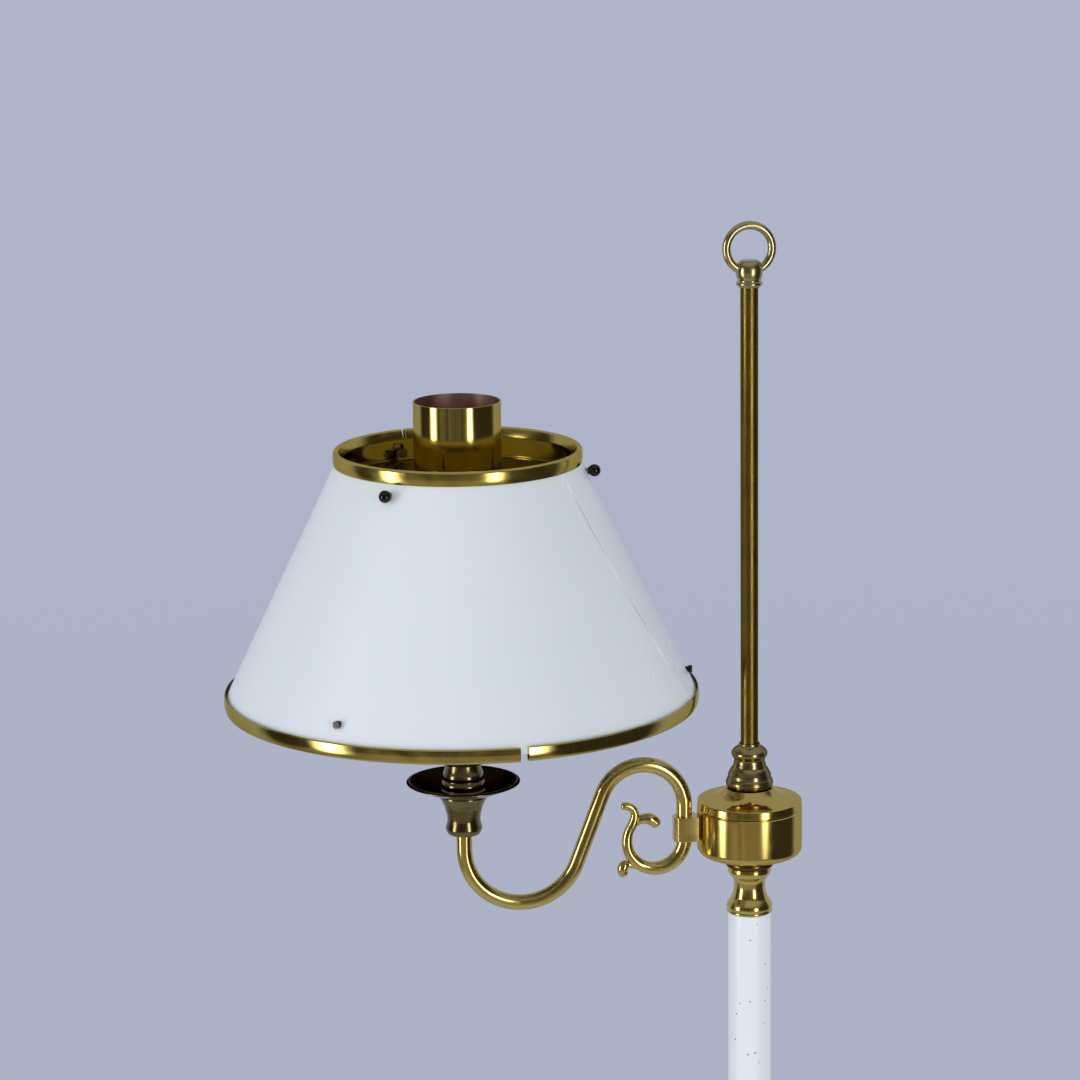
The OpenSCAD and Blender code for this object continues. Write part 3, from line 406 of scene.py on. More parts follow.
class Board:
    """A node tree with short ways to add nodes and wire them."""

    def __init__(self, tree: bpy.types.NodeTree) -> None:
        """Keeps the tree."""
        self.tree = tree

    def add(self, kind: str, wires: dict[Any, Any] | None = None, **settings: Any) -> bpy.types.Node:
        """Adds a shader node.

        Args:
            kind: The node's type, without the common prefix.
            wires: What each input takes: another node's output or a plain value.
            **settings: Properties of the node.

        Returns:
            The node.
        """
        node = self.tree.nodes.new(f"ShaderNode{kind}")
        for name, value in settings.items():
            setattr(node, name, value)
        for name, value in (wires or {}).items():
            self.wire(node.inputs[name], value)
        return node

    def wire(self, socket: bpy.types.NodeSocket, value: Any) -> None:
        """Links an input to another node's output, or gives it a plain value.

        Args:
            socket: The input.
            value: The output, a number, a vector or a colour.
        """
        if isinstance(value, bpy.types.NodeSocket):
            self.tree.links.new(value, socket)
        elif socket.type == "RGBA":
            socket.default_value = (*value, 1.0)
        else:
            socket.default_value = value

    def math(self, operation: str, first: Any, second: Any = 0.0) -> bpy.types.NodeSocket:
        """The result of a sum of two values."""
        return self.add("Math", {0: first, 1: second}, operation=operation).outputs[0]

    def ramp(self, value: Any, low: Any, high: Any, to_low: Any = 0.0,
             to_high: Any = 1.0) -> bpy.types.NodeSocket:
        """A value spread from one range to another, gently at both ends."""
        wires = {"Value": value, "From Min": low, "From Max": high, "To Min": to_low, "To Max": to_high}
        return self.add("MapRange", wires, interpolation_type="SMOOTHSTEP").outputs["Result"]

    def mix(self, share: Any, first: Any, second: Any) -> bpy.types.NodeSocket:
        """A colour between two colours."""
        return self.add("Mix", {0: share, 6: first, 7: second}, data_type="RGBA").outputs[2]

    def along(self, way: Any, direction: Vector) -> bpy.types.NodeSocket:
        """How far a vector points along a direction."""
        return self.add("VectorMath", {0: way, 1: direction}, operation="DOT_PRODUCT").outputs["Value"]

    def noise(self, way: Any, scale: Any, detail: float = 3.0, rough: float = 0.55) -> bpy.types.NodeSocket:
        """A cloudy value from 0 to 1."""
        wires = {"Vector": way, "Scale": scale, "Detail": detail, "Roughness": rough}
        return self.add("TexNoise", wires).outputs["Fac"]


class Effects:
    """Makes each shared effect once, as a node group."""

    SOCKETS = {float: "NodeSocketFloat", tuple: "NodeSocketColor", Vector: "NodeSocketVector"}
    INPUTS: dict[Effect, dict[str, type]] = {
        Effect.TARNISH: {"Vector": Vector, "Colour": tuple, "Dull": tuple, "Patch": float, "Amount": float},
        Effect.SMUDGE: {"Vector": Vector, "Patch": float, "Clear": float, "Smeared": float},
        Effect.LINES: {"Vector": Vector, "Pitch": float},
        Effect.WEAR: {"Vector": Vector, "Colour": tuple, "Worn": tuple, "Amount": float},
        Effect.DUST: {"Vector": Vector, "Colour": tuple, "Grey": tuple, "Amount": float},
        Effect.CHIPS: {"Vector": Vector, "Colour": tuple, "Bare": tuple, "Cell": float, "Share": float},
    }
    OUTPUTS: dict[Effect, tuple[str, type]] = {
        Effect.TARNISH: ("Colour", tuple),
        Effect.SMUDGE: ("Roughness", float),
        Effect.LINES: ("Height", float),
        Effect.WEAR: ("Colour", tuple),
        Effect.DUST: ("Colour", tuple),
        Effect.CHIPS: ("Colour", tuple),
    }

    def __init__(self) -> None:
        """Starts with no group made."""
        self.made: dict[Effect, bpy.types.NodeTree] = {}

    def group(self, effect: Effect) -> bpy.types.NodeTree:
        """Finds the effect's node group, and makes it at the first call.

        Args:
            effect: Which effect.

        Returns:
            The node group.
        """
        if effect not in self.made:
            self.made[effect] = self.make(effect)
        return self.made[effect]

    def make(self, effect: Effect) -> bpy.types.NodeTree:
        """Makes the effect's node group.

        Args:
            effect: Which effect.

        Returns:
            The node group, with named inputs and one output.
        """
        tree = bpy.data.node_groups.new(effect.value, "ShaderNodeTree")
        for name, kind in self.INPUTS[effect].items():
            tree.interface.new_socket(name=name, in_out="INPUT", socket_type=self.SOCKETS[kind])
        name, kind = self.OUTPUTS[effect]
        tree.interface.new_socket(name=name, in_out="OUTPUT", socket_type=self.SOCKETS[kind])
        given = tree.nodes.new("NodeGroupInput").outputs
        wanted = tree.nodes.new("NodeGroupOutput").inputs
        draw = {
            Effect.TARNISH: self.tarnish, Effect.SMUDGE: self.smudge, Effect.LINES: self.lines,
            Effect.WEAR: self.wear, Effect.DUST: self.dust, Effect.CHIPS: self.chips,
        }[effect]
        tree.links.new(draw(Board(tree), given), wanted[name])
        LOG.info("effect %s", effect.value)
        return tree

    def tarnish(self, board: Board, given: Any) -> bpy.types.NodeSocket:
        """Draws cloudy patches and fine specks of a duller colour.

        Args:
            board: The group's board.
            given: The group's inputs.

        Returns:
            The colour.
        """
        clouds = board.noise(given["Vector"], given["Patch"], detail=5.0, rough=0.62)
        fine = board.noise(given["Vector"], board.math("MULTIPLY", given["Patch"], 11.0), detail=2.0)
        specks = board.math("MULTIPLY", board.ramp(fine, 0.62, 0.74), 0.5)
        both = board.math("MAXIMUM", board.ramp(clouds, 0.4, 0.72), specks)
        mask = board.math("MULTIPLY", both, given["Amount"])
        return board.mix(mask, given["Colour"], given["Dull"])

    def smudge(self, board: Board, given: Any) -> bpy.types.NodeSocket:
        """A roughness that drifts between clear and smeared."""
        clouds = board.noise(given["Vector"], given["Patch"], detail=4.0, rough=0.6)
        return board.ramp(clouds, 0.35, 0.72, given["Clear"], given["Smeared"])

    def lines(self, board: Board, given: Any) -> bpy.types.NodeSocket:
        """Draws fine lines round an upright axis, as a lathe or a buffing wheel leaves them.

        Args:
            board: The group's board.
            given: The group's inputs.

        Returns:
            The height.
        """
        spread = board.add("CombineXYZ", {"X": 60.0, "Y": 60.0, "Z": given["Pitch"]}).outputs[0]
        way = board.add("VectorMath", {0: given["Vector"], 1: spread}, operation="MULTIPLY").outputs[0]
        return board.noise(way, 1.0, detail=2.0)

    def wear(self, board: Board, given: Any) -> bpy.types.NodeSocket:
        """Draws a brighter colour along the edges that hands and cloths rub.

        Args:
            board: The group's board.
            given: The group's inputs.

        Returns:
            The colour.
        """
        edge = board.add("Attribute", attribute_name="edge").outputs["Fac"]
        broken = board.ramp(board.noise(given["Vector"], 700.0), 0.3, 0.6)
        mask = board.math("MULTIPLY", board.math("MULTIPLY", edge, broken), given["Amount"])
        return board.mix(mask, given["Colour"], given["Worn"])

    def dust(self, board: Board, given: Any) -> bpy.types.NodeSocket:
        """Draws a thin grey veil on what faces up.

        Args:
            board: The group's board.
            given: The group's inputs.

        Returns:
            The colour.
        """
        normal = board.add("NewGeometry").outputs["Normal"]
        upward = board.ramp(board.add("SeparateXYZ", {0: normal}).outputs["Z"], 0.35, 1.0)
        broken = board.ramp(board.noise(given["Vector"], 240.0, detail=5.0, rough=0.7), 0.3, 0.7)
        mask = board.math("MULTIPLY", board.math("MULTIPLY", upward, broken), given["Amount"])
        return board.mix(mask, given["Colour"], given["Grey"])

    def chips(self, board: Board, given: Any) -> bpy.types.NodeSocket:
        """Draws a few small bare spots, one in some of the cells.

        Args:
            board: The group's board.
            given: The group's inputs.

        Returns:
            The colour.
        """
        shake = board.noise(given["Vector"], 900.0)
        cells = board.add("TexVoronoi", {"Vector": given["Vector"], "Scale": given["Cell"]})
        far = board.math("ADD", cells.outputs["Distance"], board.math("MULTIPLY", shake, 0.08))
        luck = board.add("SeparateXYZ", {0: cells.outputs["Color"]}).outputs["X"]
        chosen = board.math("LESS_THAN", luck, given["Share"])
        mask = board.math("MULTIPLY", board.ramp(far, 0.15, 0.11), chosen)
        return board.mix(mask, given["Colour"], given["Bare"])


EFFECTS = Effects()
MADE: dict[str, bpy.types.Material] = {}


# Finishes

class Painter:
    """Draws one finish in a new material."""

    def __init__(self, name: str) -> None:
        """Starts a material with a Principled shader.

        Args:
            name: The material's name.
        """
        self.material = bpy.data.materials.new(name)
        self.material.use_nodes = True
        self.board = Board(self.material.node_tree)
        self.shader = next(n for n in self.board.tree.nodes if n.type == "BSDF_PRINCIPLED")
        self.way = self.board.add("TexCoord").outputs["Object"]

    def effect(self, effect: Effect, **wires: Any) -> bpy.types.NodeSocket:
        """Places a shared effect with its own values.

        Args:
            effect: Which effect.
            **wires: What its inputs take.

        Returns:
            What the effect gives.
        """
        node = self.board.tree.nodes.new("ShaderNodeGroup")
        node.node_tree = EFFECTS.group(effect)
        for name, value in ({"Vector": self.way} | wires).items():
            self.board.wire(node.inputs[name], value)
        return node.outputs[0]

    def set(self, **values: Any) -> None:
        """Sets or wires inputs of the shader, with underscores for spaces in their names."""
        for name, value in values.items():
            self.board.wire(self.shader.inputs[name.replace("_", " ")], value)

    def bump(self, height: Any, depth: float) -> None:
        """Roughens the surface, on top of an earlier bump.

        Args:
            height: The height of the surface.
            depth: How deep it goes, in millimetres.
        """
        wires = {"Height": height, "Strength": 1.0, "Distance": depth * MM}
        wires |= {"Normal": link.from_socket for link in self.shader.inputs["Normal"].links}
        self.set(Normal=self.board.add("Bump", wires).outputs["Normal"])


class Finish:
    """What a piece can be dressed in."""

    name: str

    def material(self) -> bpy.types.Material:
        """Finds the finish's material, and makes it at the first call.

        Returns:
            The material.
        """
        if self.name not in MADE:
            painter = Painter(f"{self.name}_finish")
            self.paint(painter)
            MADE[self.name] = painter.material
        return MADE[self.name]

    def paint(self, painter: Painter) -> None:
        """Draws the finish, each class in its own way."""
        raise NotImplementedError

    def dress(self, piece: bpy.types.Object) -> None:
        """Gives a piece this finish alone."""
        piece.data.materials.clear()
        piece.data.materials.append(self.material())


@dataclass(frozen=True)
class Metal(Finish):
    """Bare, polished or patinated metal.

    Attributes:
        name: The finish's name.
        colour: The clean metal's colour.
        dull: Its colour where it has tarnished.
        tarnish: How strong the tarnish is, from 0 to 1.
        patch: How many patches of tarnish lie in a metre.
        clear: Its roughness where it is clean.
        smeared: Its roughness where it is smeared.
        lines: The depth of its polish lines, in millimetres.
        ripple: The depth of the waves that hand polish leaves, in millimetres.
        worn: Its colour along rubbed edges.
        wear: How strong that wear is, from 0 to 1.
        dust: How strong the dust on it is, from 0 to 1.
        edge: The tint of what it mirrors at a low angle.
    """

    name: str
    colour: Colour
    dull: Colour
    tarnish: float = 0.3
    patch: float = 45.0
    clear: float = 0.1
    smeared: float = 0.2
    lines: float = 0.0
    ripple: float = 0.0
    worn: Colour = (0.8, 0.66, 0.3)
    wear: float = 0.0
    dust: float = 0.0
    edge: Colour = (1.0, 1.0, 1.0)

    def paint(self, painter: Painter) -> None:
        """Draws tarnish, worn edges, smears, polish lines and dust.

        Args:
            painter: The new material's painter.
        """
        tarnish = {"Dull": self.dull, "Patch": self.patch, "Amount": self.tarnish}
        colour = painter.effect(Effect.TARNISH, Colour=self.colour, **tarnish)
        if self.wear:
            colour = painter.effect(Effect.WEAR, Colour=colour, Worn=self.worn, Amount=self.wear)
        if self.dust:
            colour = painter.effect(Effect.DUST, Colour=colour, Grey=(0.42, 0.4, 0.36), Amount=self.dust)
        smears = {"Patch": self.patch * 1.7, "Clear": self.clear, "Smeared": self.smeared}
        rough = painter.effect(Effect.SMUDGE, **smears)
        painter.set(Base_Color=colour, Roughness=rough, Metallic=1.0, Specular_Tint=self.edge)
        if self.ripple:
            painter.bump(painter.board.noise(painter.way, scale=95.0, detail=1.0), self.ripple)
        if self.lines:
            painter.bump(painter.effect(Effect.LINES, Pitch=5200.0), self.lines)


@dataclass(frozen=True)
class Paint(Finish):
    """Lacquer or enamel on metal.

    Attributes:
        name: The finish's name.
        colour: The paint's colour.
        aged: Its colour where it has yellowed or greyed a little.
        clear: Its roughness where it is clean.
        smeared: Its roughness where it is smeared.
        coat: The weight of its gloss coat.
        peel: The depth of its fine ripple, in millimetres.
        chips: Which share of the cells has a chip.
        bare: The colour in a chip.
    """

    name: str
    colour: Colour
    aged: Colour
    clear: float = 0.2
    smeared: float = 0.34
    coat: float = 0.3
    peel: float = 0.002
    chips: float = 0.0
    bare: Colour = (0.12, 0.1, 0.09)

    def paint(self, painter: Painter) -> None:
        """Draws the ageing, chips, smears and ripple.

        Args:
            painter: The new material's painter.
        """
        colour = painter.effect(Effect.TARNISH, Colour=self.colour, Dull=self.aged, Patch=14.0, Amount=0.6)
        if self.chips:
            chips = {"Bare": self.bare, "Cell": 190.0, "Share": self.chips}
            colour = painter.effect(Effect.CHIPS, Colour=colour, **chips)
        rough = painter.effect(Effect.SMUDGE, Patch=22.0, Clear=self.clear, Smeared=self.smeared)
        painter.set(Base_Color=colour, Roughness=rough, Coat_Weight=self.coat, Coat_Roughness=0.12)
        painter.bump(painter.board.noise(painter.way, scale=420.0, detail=2.0), self.peel)


@dataclass(frozen=True)
class Moulded(Finish):
    """Moulded plastic or fired ceramic.

    Attributes:
        name: The finish's name.
        colour: Its colour.
        aged: Its colour where it has aged.
        clear: Its roughness where it is clean.
        smeared: Its roughness where it is smeared.
        grain: The depth of its fine grain, in millimetres.
    """

    name: str
    colour: Colour
    aged: Colour
    clear: float = 0.3
    smeared: float = 0.45
    grain: float = 0.01

    def paint(self, painter: Painter) -> None:
        """Draws the ageing, smears, dust and grain.

        Args:
            painter: The new material's painter.
        """
        colour = painter.effect(Effect.TARNISH, Colour=self.colour, Dull=self.aged, Patch=60.0, Amount=0.7)
        colour = painter.effect(Effect.DUST, Colour=colour, Grey=(0.4, 0.38, 0.35), Amount=0.15)
        rough = painter.effect(Effect.SMUDGE, Patch=80.0, Clear=self.clear, Smeared=self.smeared)
        painter.set(Base_Color=colour, Roughness=rough)
        painter.bump(painter.board.noise(painter.way, scale=2600.0), self.grain)


@dataclass(frozen=True)
class Felt(Finish):
    """Pressed wool felt.

    Attributes:
        name: The finish's name.
        colour: The colour of its fibres.
        light: The colour of the fibres on top.
    """

    name: str
    colour: Colour
    light: Colour

    def paint(self, painter: Painter) -> None:
        """Draws tangled fibres.

        Args:
            painter: The new material's painter.
        """
        fibres = painter.board.noise(painter.way, scale=1500.0, detail=6.0, rough=0.75)
        colour = painter.board.mix(painter.board.ramp(fibres, 0.3, 0.7), self.colour, self.light)
        painter.set(Base_Color=colour, Roughness=0.95, Sheen_Weight=0.4)
        painter.bump(fibres, 0.25)


@dataclass(frozen=True)
class OpalGlass(Finish):
    """Milky bulb glass.

    Attributes:
        name: The finish's name.
        colour: Its colour.
        thick: Its colour where the milk is thicker.
    """

    name: str
    colour: Colour
    thick: Colour

    def paint(self, painter: Painter) -> None:
        """Draws an uneven milky coat under a clear skin.

        Args:
            painter: The new material's painter.
        """
        colour = painter.effect(Effect.TARNISH, Colour=self.colour, Dull=self.thick, Patch=40.0, Amount=0.6)
        rough = painter.effect(Effect.SMUDGE, Patch=60.0, Clear=0.08, Smeared=0.2)
        painter.set(Base_Color=colour, Roughness=rough, Transmission_Weight=0.2, Coat_Weight=0.4)


FINISHES: dict[str, Finish] = {finish.name: finish for finish in (
    Paint("white_lacquer", (0.8, 0.84, 0.87), (0.77, 0.81, 0.83), clear=0.16, smeared=0.26, coat=0.4,
          peel=0.0015, chips=0.6),
    Paint("shade_white", (0.72, 0.765, 0.8), (0.7, 0.75, 0.785), clear=0.32, smeared=0.42, coat=0.12,
          peel=0.001),
    Metal("polished_brass", (0.65, 0.485, 0.14), (0.54, 0.39, 0.1), tarnish=0.3, patch=40.0, clear=0.1,
          smeared=0.17, ripple=0.004, wear=0.3, dust=0.04, edge=(0.85, 0.75, 0.5)),
    Metal("rim_brass", (0.58, 0.47, 0.14), (0.45, 0.36, 0.1), tarnish=0.4, patch=50.0, clear=0.06,
          smeared=0.13, ripple=0.004, wear=0.4, dust=0.04, edge=(0.8, 0.68, 0.4)),
    Metal("rod_brass", (0.2, 0.145, 0.028), (0.13, 0.095, 0.02), tarnish=0.5, patch=60.0, clear=0.3,
          smeared=0.4, lines=0.0002, wear=0.2, edge=(0.6, 0.48, 0.2)),
    Metal("plate_brass", (0.5, 0.385, 0.08), (0.36, 0.275, 0.05), tarnish=0.4, patch=30.0, clear=0.06,
          smeared=0.14, ripple=0.006, dust=0.06),
    Metal("dark_brass", (0.23, 0.18, 0.08), (0.12, 0.09, 0.04), tarnish=0.6, patch=80.0, clear=0.16,
          smeared=0.28, lines=0.0004, worn=(0.42, 0.34, 0.16), wear=0.5, dust=0.05),
    Metal("black_bronze", (0.045, 0.038, 0.032), (0.025, 0.02, 0.017), tarnish=0.6, patch=120.0,
          clear=0.14, smeared=0.26, lines=0.0003),
    Metal("bush_bronze", (0.5, 0.36, 0.16), (0.36, 0.26, 0.12), tarnish=0.5, patch=70.0, clear=0.24,
          smeared=0.4, lines=0.001, dust=0.1),
    Metal("contact_brass", (0.62, 0.5, 0.2), (0.4, 0.32, 0.13), tarnish=0.5, patch=90.0, clear=0.2,
          smeared=0.34, lines=0.0006),
    Metal("plated_steel", (0.34, 0.33, 0.32), (0.22, 0.21, 0.2), tarnish=0.5, patch=90.0, clear=0.22,
          smeared=0.38, lines=0.0008, worn=(0.5, 0.5, 0.5), wear=0.4, dust=0.1),
    Metal("iron_weight", (0.13, 0.13, 0.135), (0.09, 0.07, 0.06), tarnish=0.7, patch=40.0, clear=0.5,
          smeared=0.7, lines=0.004, dust=0.2),
    Felt("felt", (0.012, 0.013, 0.014), (0.05, 0.052, 0.055)),
    Moulded("black_plastic", (0.014, 0.013, 0.013), (0.024, 0.021, 0.019), clear=0.26, smeared=0.42,
            grain=0.004),
    Moulded("switch_plastic", (0.78, 0.75, 0.66), (0.7, 0.64, 0.5), clear=0.3, smeared=0.42, grain=0.003),
    Moulded("steatite", (0.8, 0.77, 0.7), (0.7, 0.66, 0.58), clear=0.4, smeared=0.6, grain=0.008),
    Metal("cap_metal", (0.6, 0.6, 0.59), (0.46, 0.45, 0.43), tarnish=0.4, patch=90.0, clear=0.26,
          smeared=0.4, lines=0.0006),
    OpalGlass("opal_glass", (0.86, 0.86, 0.83), (0.8, 0.8, 0.76)),
)}
COVER = Paint("cover_white", (0.8, 0.84, 0.87), (0.77, 0.81, 0.83), clear=0.18, smeared=0.3, coat=0.35,
              peel=0.0015, chips=0.1)
PALE = Metal("pale_brass", (0.5, 0.43, 0.21), (0.38, 0.32, 0.15), tarnish=0.4, patch=60.0, clear=0.2,
             smeared=0.3, wear=0.2, dust=0.05)
BRIGHT = Metal("bright_brass", (0.7, 0.54, 0.16), (0.6, 0.45, 0.12), tarnish=0.3, patch=45.0, clear=0.12,
               smeared=0.2, ripple=0.004, wear=0.3, dust=0.04)
SATIN = Metal("satin_brass", (0.66, 0.52, 0.17), (0.54, 0.41, 0.12), tarnish=0.35, patch=45.0, clear=0.13,
              smeared=0.21, wear=0.2, dust=0.04)
BOBBIN = Metal("bobbin_brass", (0.4, 0.32, 0.14), (0.25, 0.2, 0.09), tarnish=0.6, patch=80.0, clear=0.19,
               smeared=0.29, lines=0.0003, worn=(0.5, 0.41, 0.18), wear=0.3, dust=0.05,
               edge=(0.25, 0.22, 0.16))
HEATED = Metal("heated_brass", (0.55, 0.34, 0.27), (0.36, 0.21, 0.16), tarnish=0.6, patch=60.0,
               clear=0.34, smeared=0.5, lines=0.0006, dust=0.1)
# painted shade: a dark brass that stands for the hub's shaded underside mirrored in the lower bobbin's top
# bead
SHADED = Metal("shaded_brass", (0.2, 0.12, 0.035), (0.12, 0.07, 0.02), tarnish=0.6, patch=60.0,
               clear=0.24, smeared=0.36, lines=0.0004, dust=0.06, edge=(0.3, 0.2, 0.08))
SPUN = Metal("spun_brass", (0.6, 0.475, 0.125), (0.48, 0.37, 0.09), tarnish=0.4, patch=45.0, clear=0.14,
             smeared=0.22, ripple=0.004, wear=0.4, dust=0.04, edge=(0.8, 0.68, 0.4))
# partly the raw cut edge's paler colour and partly a painted highlight: a brighter white that makes the
# lap's cut end read as a lit line
CUT_END_HIGHLIGHT = Paint("cut_end_highlight", (0.93, 0.95, 0.96), (0.9, 0.92, 0.94), clear=0.3, smeared=0.4, coat=0.1,
                  peel=0.001)
# painted shade: near-black brass for the inside of the drip pan, which lies in the shadow under the shade
PAN_PAINTED_SHADE = Metal("pan_painted_shade", (0.04, 0.027, 0.009), (0.025, 0.017, 0.006), tarnish=0.6, patch=60.0,
                 clear=0.3, smeared=0.45, lines=0.0006, edge=(0.25, 0.18, 0.09))
OTHER: dict[str, Finish] = {"base_cover": COVER, "rim_screws": FINISHES["black_bronze"]}


def fit(piece: bpy.types.Object, *nodes: str) -> bpy.types.Object:
    """Dresses a piece in its nodes' finish and puts it in their place.

    Args:
        piece: The piece.
        *nodes: The CAD nodes that it stands for.

    Returns:
        The piece.
    """
    slot = SLOT_OF[nodes[0]]
    FINISHES[slot].dress(piece)
    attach(piece, BODY_OF[nodes[0]])
    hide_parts(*nodes)
    LOG.info("%s stands for %s, %d faces", piece.name, ", ".join(nodes), len(piece.data.polygons))
    return piece


def line_with(piece: bpy.types.Object, finish: Finish, chosen: Callable[[Vector, Vector], bool]) -> None:
    """Gives some faces of a piece a second finish.

    Args:
        piece: The piece, already dressed.
        finish: The second finish.
        chosen: Tells from a face's centre and normal whether it takes that finish.
    """
    piece.data.materials.append(finish.material())
    for face in piece.data.polygons:
        if chosen(face.center / MM, face.normal):
            face.material_index = 1


# Sub-assemblies, in millimetres

@dataclass
class Foot:
    """The collar and the cord gland of the round base."""

    pole_radius: float = 12.5
    collar_radius: float = 28.0
    collar_height: float = 15.0
    collar_rim: float = 4.0
    collar_bevel: float = 0.8
    collar_bead: float = 1.4
    collar_play: float = 0.15
    gland_bore: float = 3.5
    gland_radius: float = 4.7
    gland_flange: float = 6.0
    gland_edge: float = 1.75
    gland_inner: float = 1.6

    def build(self) -> None:
        """Builds both pieces."""
        self.collar()
        self.gland()

    def collar(self) -> None:
        """The brass collar at the pole's foot."""
        base, _ = levels("base_collar")
        h, pole, edge, rim = self.collar_height, self.pole_radius, self.collar_radius, self.collar_rim
        bore, bevel, bead = pole + self.collar_play, self.collar_bevel, self.collar_bead
        hollow = [
            (edge - 2, rim), ((edge + 2 * pole) / 2 - 3, rim + 1.5), (pole + 5, h * 0.6),
            (pole + 3.2, h - 3),
        ]
        outline = [(bore, 0), (edge - bevel, 0), (edge, bevel), (edge, rim - bevel), (edge - 1.2, rim)]
        outline += through(hollow) + on_arc((pole + 2.6, h - bead), bead, -40, 90) + [(bore, h)]
        fit(lathe("turned_collar", lifted(rounded(outline), base)), "base_collar")

    def gland(self) -> None:
        """The black gland in the cover's edge, with a ribbed lip."""
        low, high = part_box("cord_gland")
        length = (high.x - low.x) / MM
        bore, tube, flange = self.gland_bore, self.gland_radius, self.gland_flange
        inner, lip = self.gland_inner, length - self.gland_edge
        outline = [(bore, 0), (flange, 0), (flange, inner), (tube, inner), (tube, lip)]
        outline += [(flange, lip), (flange, length), (bore, length)]
        piece = lathe("cord_bush", rounded(outline, 0.5), sides=64)
        turned_round(piece, (low.x / MM, 0, (low.z + high.z) / 2 / MM), 0)
        fit(piece, "cord_gland")


@dataclass
class Column:
    """The white pole and what stands on its axis, up to the carry ring."""

    pole_radius: float = 12.5
    pole_wall: float = 1.5
    thread: float = 5.05
    low_height: float = 32.0
    low_bulge: float = 13.2
    low_neck: float = 9.1
    low_flange: float = 13.9
    low_bead: float = 2.4
    low_bead_drop: float = 2.5
    # Height of the lower bobbin's top band that takes the painted shade
    low_shaded: float = 4.9
    washer_radius: float = 14.0
    washer_bevel: float = 0.4
    washer_lip: float = 0.5
    washer_groove: float = 0.35
    up_height: float = 25.8
    up_bead: float = 13.6
    up_neck: float = 8.8
    up_top: float = 10.3
    rod_radius: float = 5.0
    rod_bore: float = 3.5
    rod_seat: float = 13.0
    finial_height: float = 15.2
    finial_ball: float = 7.65
    finial_collar: float = 7.5
    finial_bead: float = 1.4
    finial_top: float = 2.4
    finial_seat: float = 3.6
    ring_wire: float = 2.4
    ring_radius: float = 15.4

    def build(self) -> None:
        """Builds the pieces from the pole up."""
        self.pole()
        self.lower_bobbin()
        self.washer()
        self.upper_bobbin()
        self.rod()
        self.finial()
        self.ring()

    def pole(self) -> None:
        """The lacquered tube, with eased ends."""
        low, high = levels("pole")
        inside = self.pole_radius - self.pole_wall
        outline = [(inside, low), (self.pole_radius, low), (self.pole_radius, high), (inside, high)]
        fit(lathe("lacquered_pole", rounded(outline, 0.5)), "pole")

    def lower_bobbin(self) -> None:
        """The bright turned piece between the pole and the hub, its top bead painted dark as painted shade.
        """
        h, bulge, neck, flange = self.low_height, self.low_bulge, self.low_neck, self.low_flange
        foot = [(bulge - 1.2, 0), (bulge - 0.1, 0.6), (bulge, 1.3), (bulge - 0.4, 2)]
        bell = [
            (bulge - 0.35, 2.3), (bulge + 0.1, 3.5), (bulge - 0.2, 5.2), (bulge - 1.2, h * 0.22),
            (neck + 1.3, h * 0.3), (neck + 0.2, h * 0.41), (neck, h * 0.51), (neck + 0.6, h * 0.62),
            (neck + 2.4, h * 0.7),
        ]
        collar = [
            (neck + 2.7, h * 0.715), (neck + 3.4, h * 0.765), (neck + 3.4, h * 0.81), (neck + 3, h * 0.845),
        ]
        bead = on_arc((flange - self.low_bead, h - self.low_bead_drop), self.low_bead, -60, 80, 20)
        outline = [(self.thread, 0)] + through(foot) + through(bell) + through(collar) + bead
        outline += [(self.thread, h)]
        base, _ = levels("lower_bobbin")
        piece = fit(lathe("turned_lower_bobbin", lifted(rounded(outline), base)), "lower_bobbin")
        BRIGHT.dress(piece)
        # painted shade: the faces near the top take the dark brass, in place of the hub's shaded underside
        # that the bead mirrors
        line_with(piece, SHADED, lambda at, normal: at.z > base + h - self.low_shaded)

    def washer(self) -> None:
        """The dark washer that the hub turns on, with a shallow groove."""
        low, high = levels("thrust_washer")
        edge, bevel, lip = self.washer_radius, self.washer_bevel, self.washer_lip
        outline = [(self.thread, low), (edge - bevel, low), (edge, low + lip)]
        outline += [(edge - self.washer_groove, (low + high) / 2), (edge, high - lip)]
        outline += [(edge - bevel, high), (self.thread, high)]
        fit(lathe("turned_washer", rounded(outline, 0.3)), "thrust_washer")

    def upper_bobbin(self) -> None:
        """The dark turned piece that holds the rod."""
        h, bead, neck, top, rod = self.up_height, self.up_bead, self.up_neck, self.up_top, self.rod_radius
        outline = [(self.thread, 0)]
        outline += through([
            (bead - 1.3, 0), (bead - 0.4, h * 0.045), (bead, h * 0.105), (bead - 0.5, h * 0.175),
            (bead - 1.2, h * 0.225), (bead - 1.3, h * 0.28), (bead - 1.9, h * 0.34),
            ((bead + neck) / 2 - 0.4, h * 0.41), (neck + 1, h * 0.46), (neck + 0.5, h * 0.52),
            (neck + 0.1, h * 0.58), (neck, h * 0.63), (top - 0.9, h * 0.68),
            (top - 0.1, h * 0.735), (top, h * 0.785), (top - 0.6, h * 0.84),
            ((top + rod) / 2 + 0.3, h * 0.9), (rod + 1.4, h * 0.94), (rod + 0.9, h),
        ])
        seat = h - self.rod_seat
        outline += [(rod + PLAY, h), (rod + PLAY, seat), (self.thread, seat - TINY)]
        base, _ = levels("upper_bobbin")
        BOBBIN.dress(fit(lathe("turned_upper_bobbin", lifted(rounded(outline), base)), "upper_bobbin"))

    def rod(self) -> None:
        """The drawn brass tube over the hub."""
        low, high = levels("upper_rod")
        bore, full = self.rod_bore, self.rod_radius
        outline = [(bore, low), (full, low), (full, high), (bore, high)]
        fit(lathe("drawn_rod", rounded(outline, 0.4), sides=96), "upper_rod")

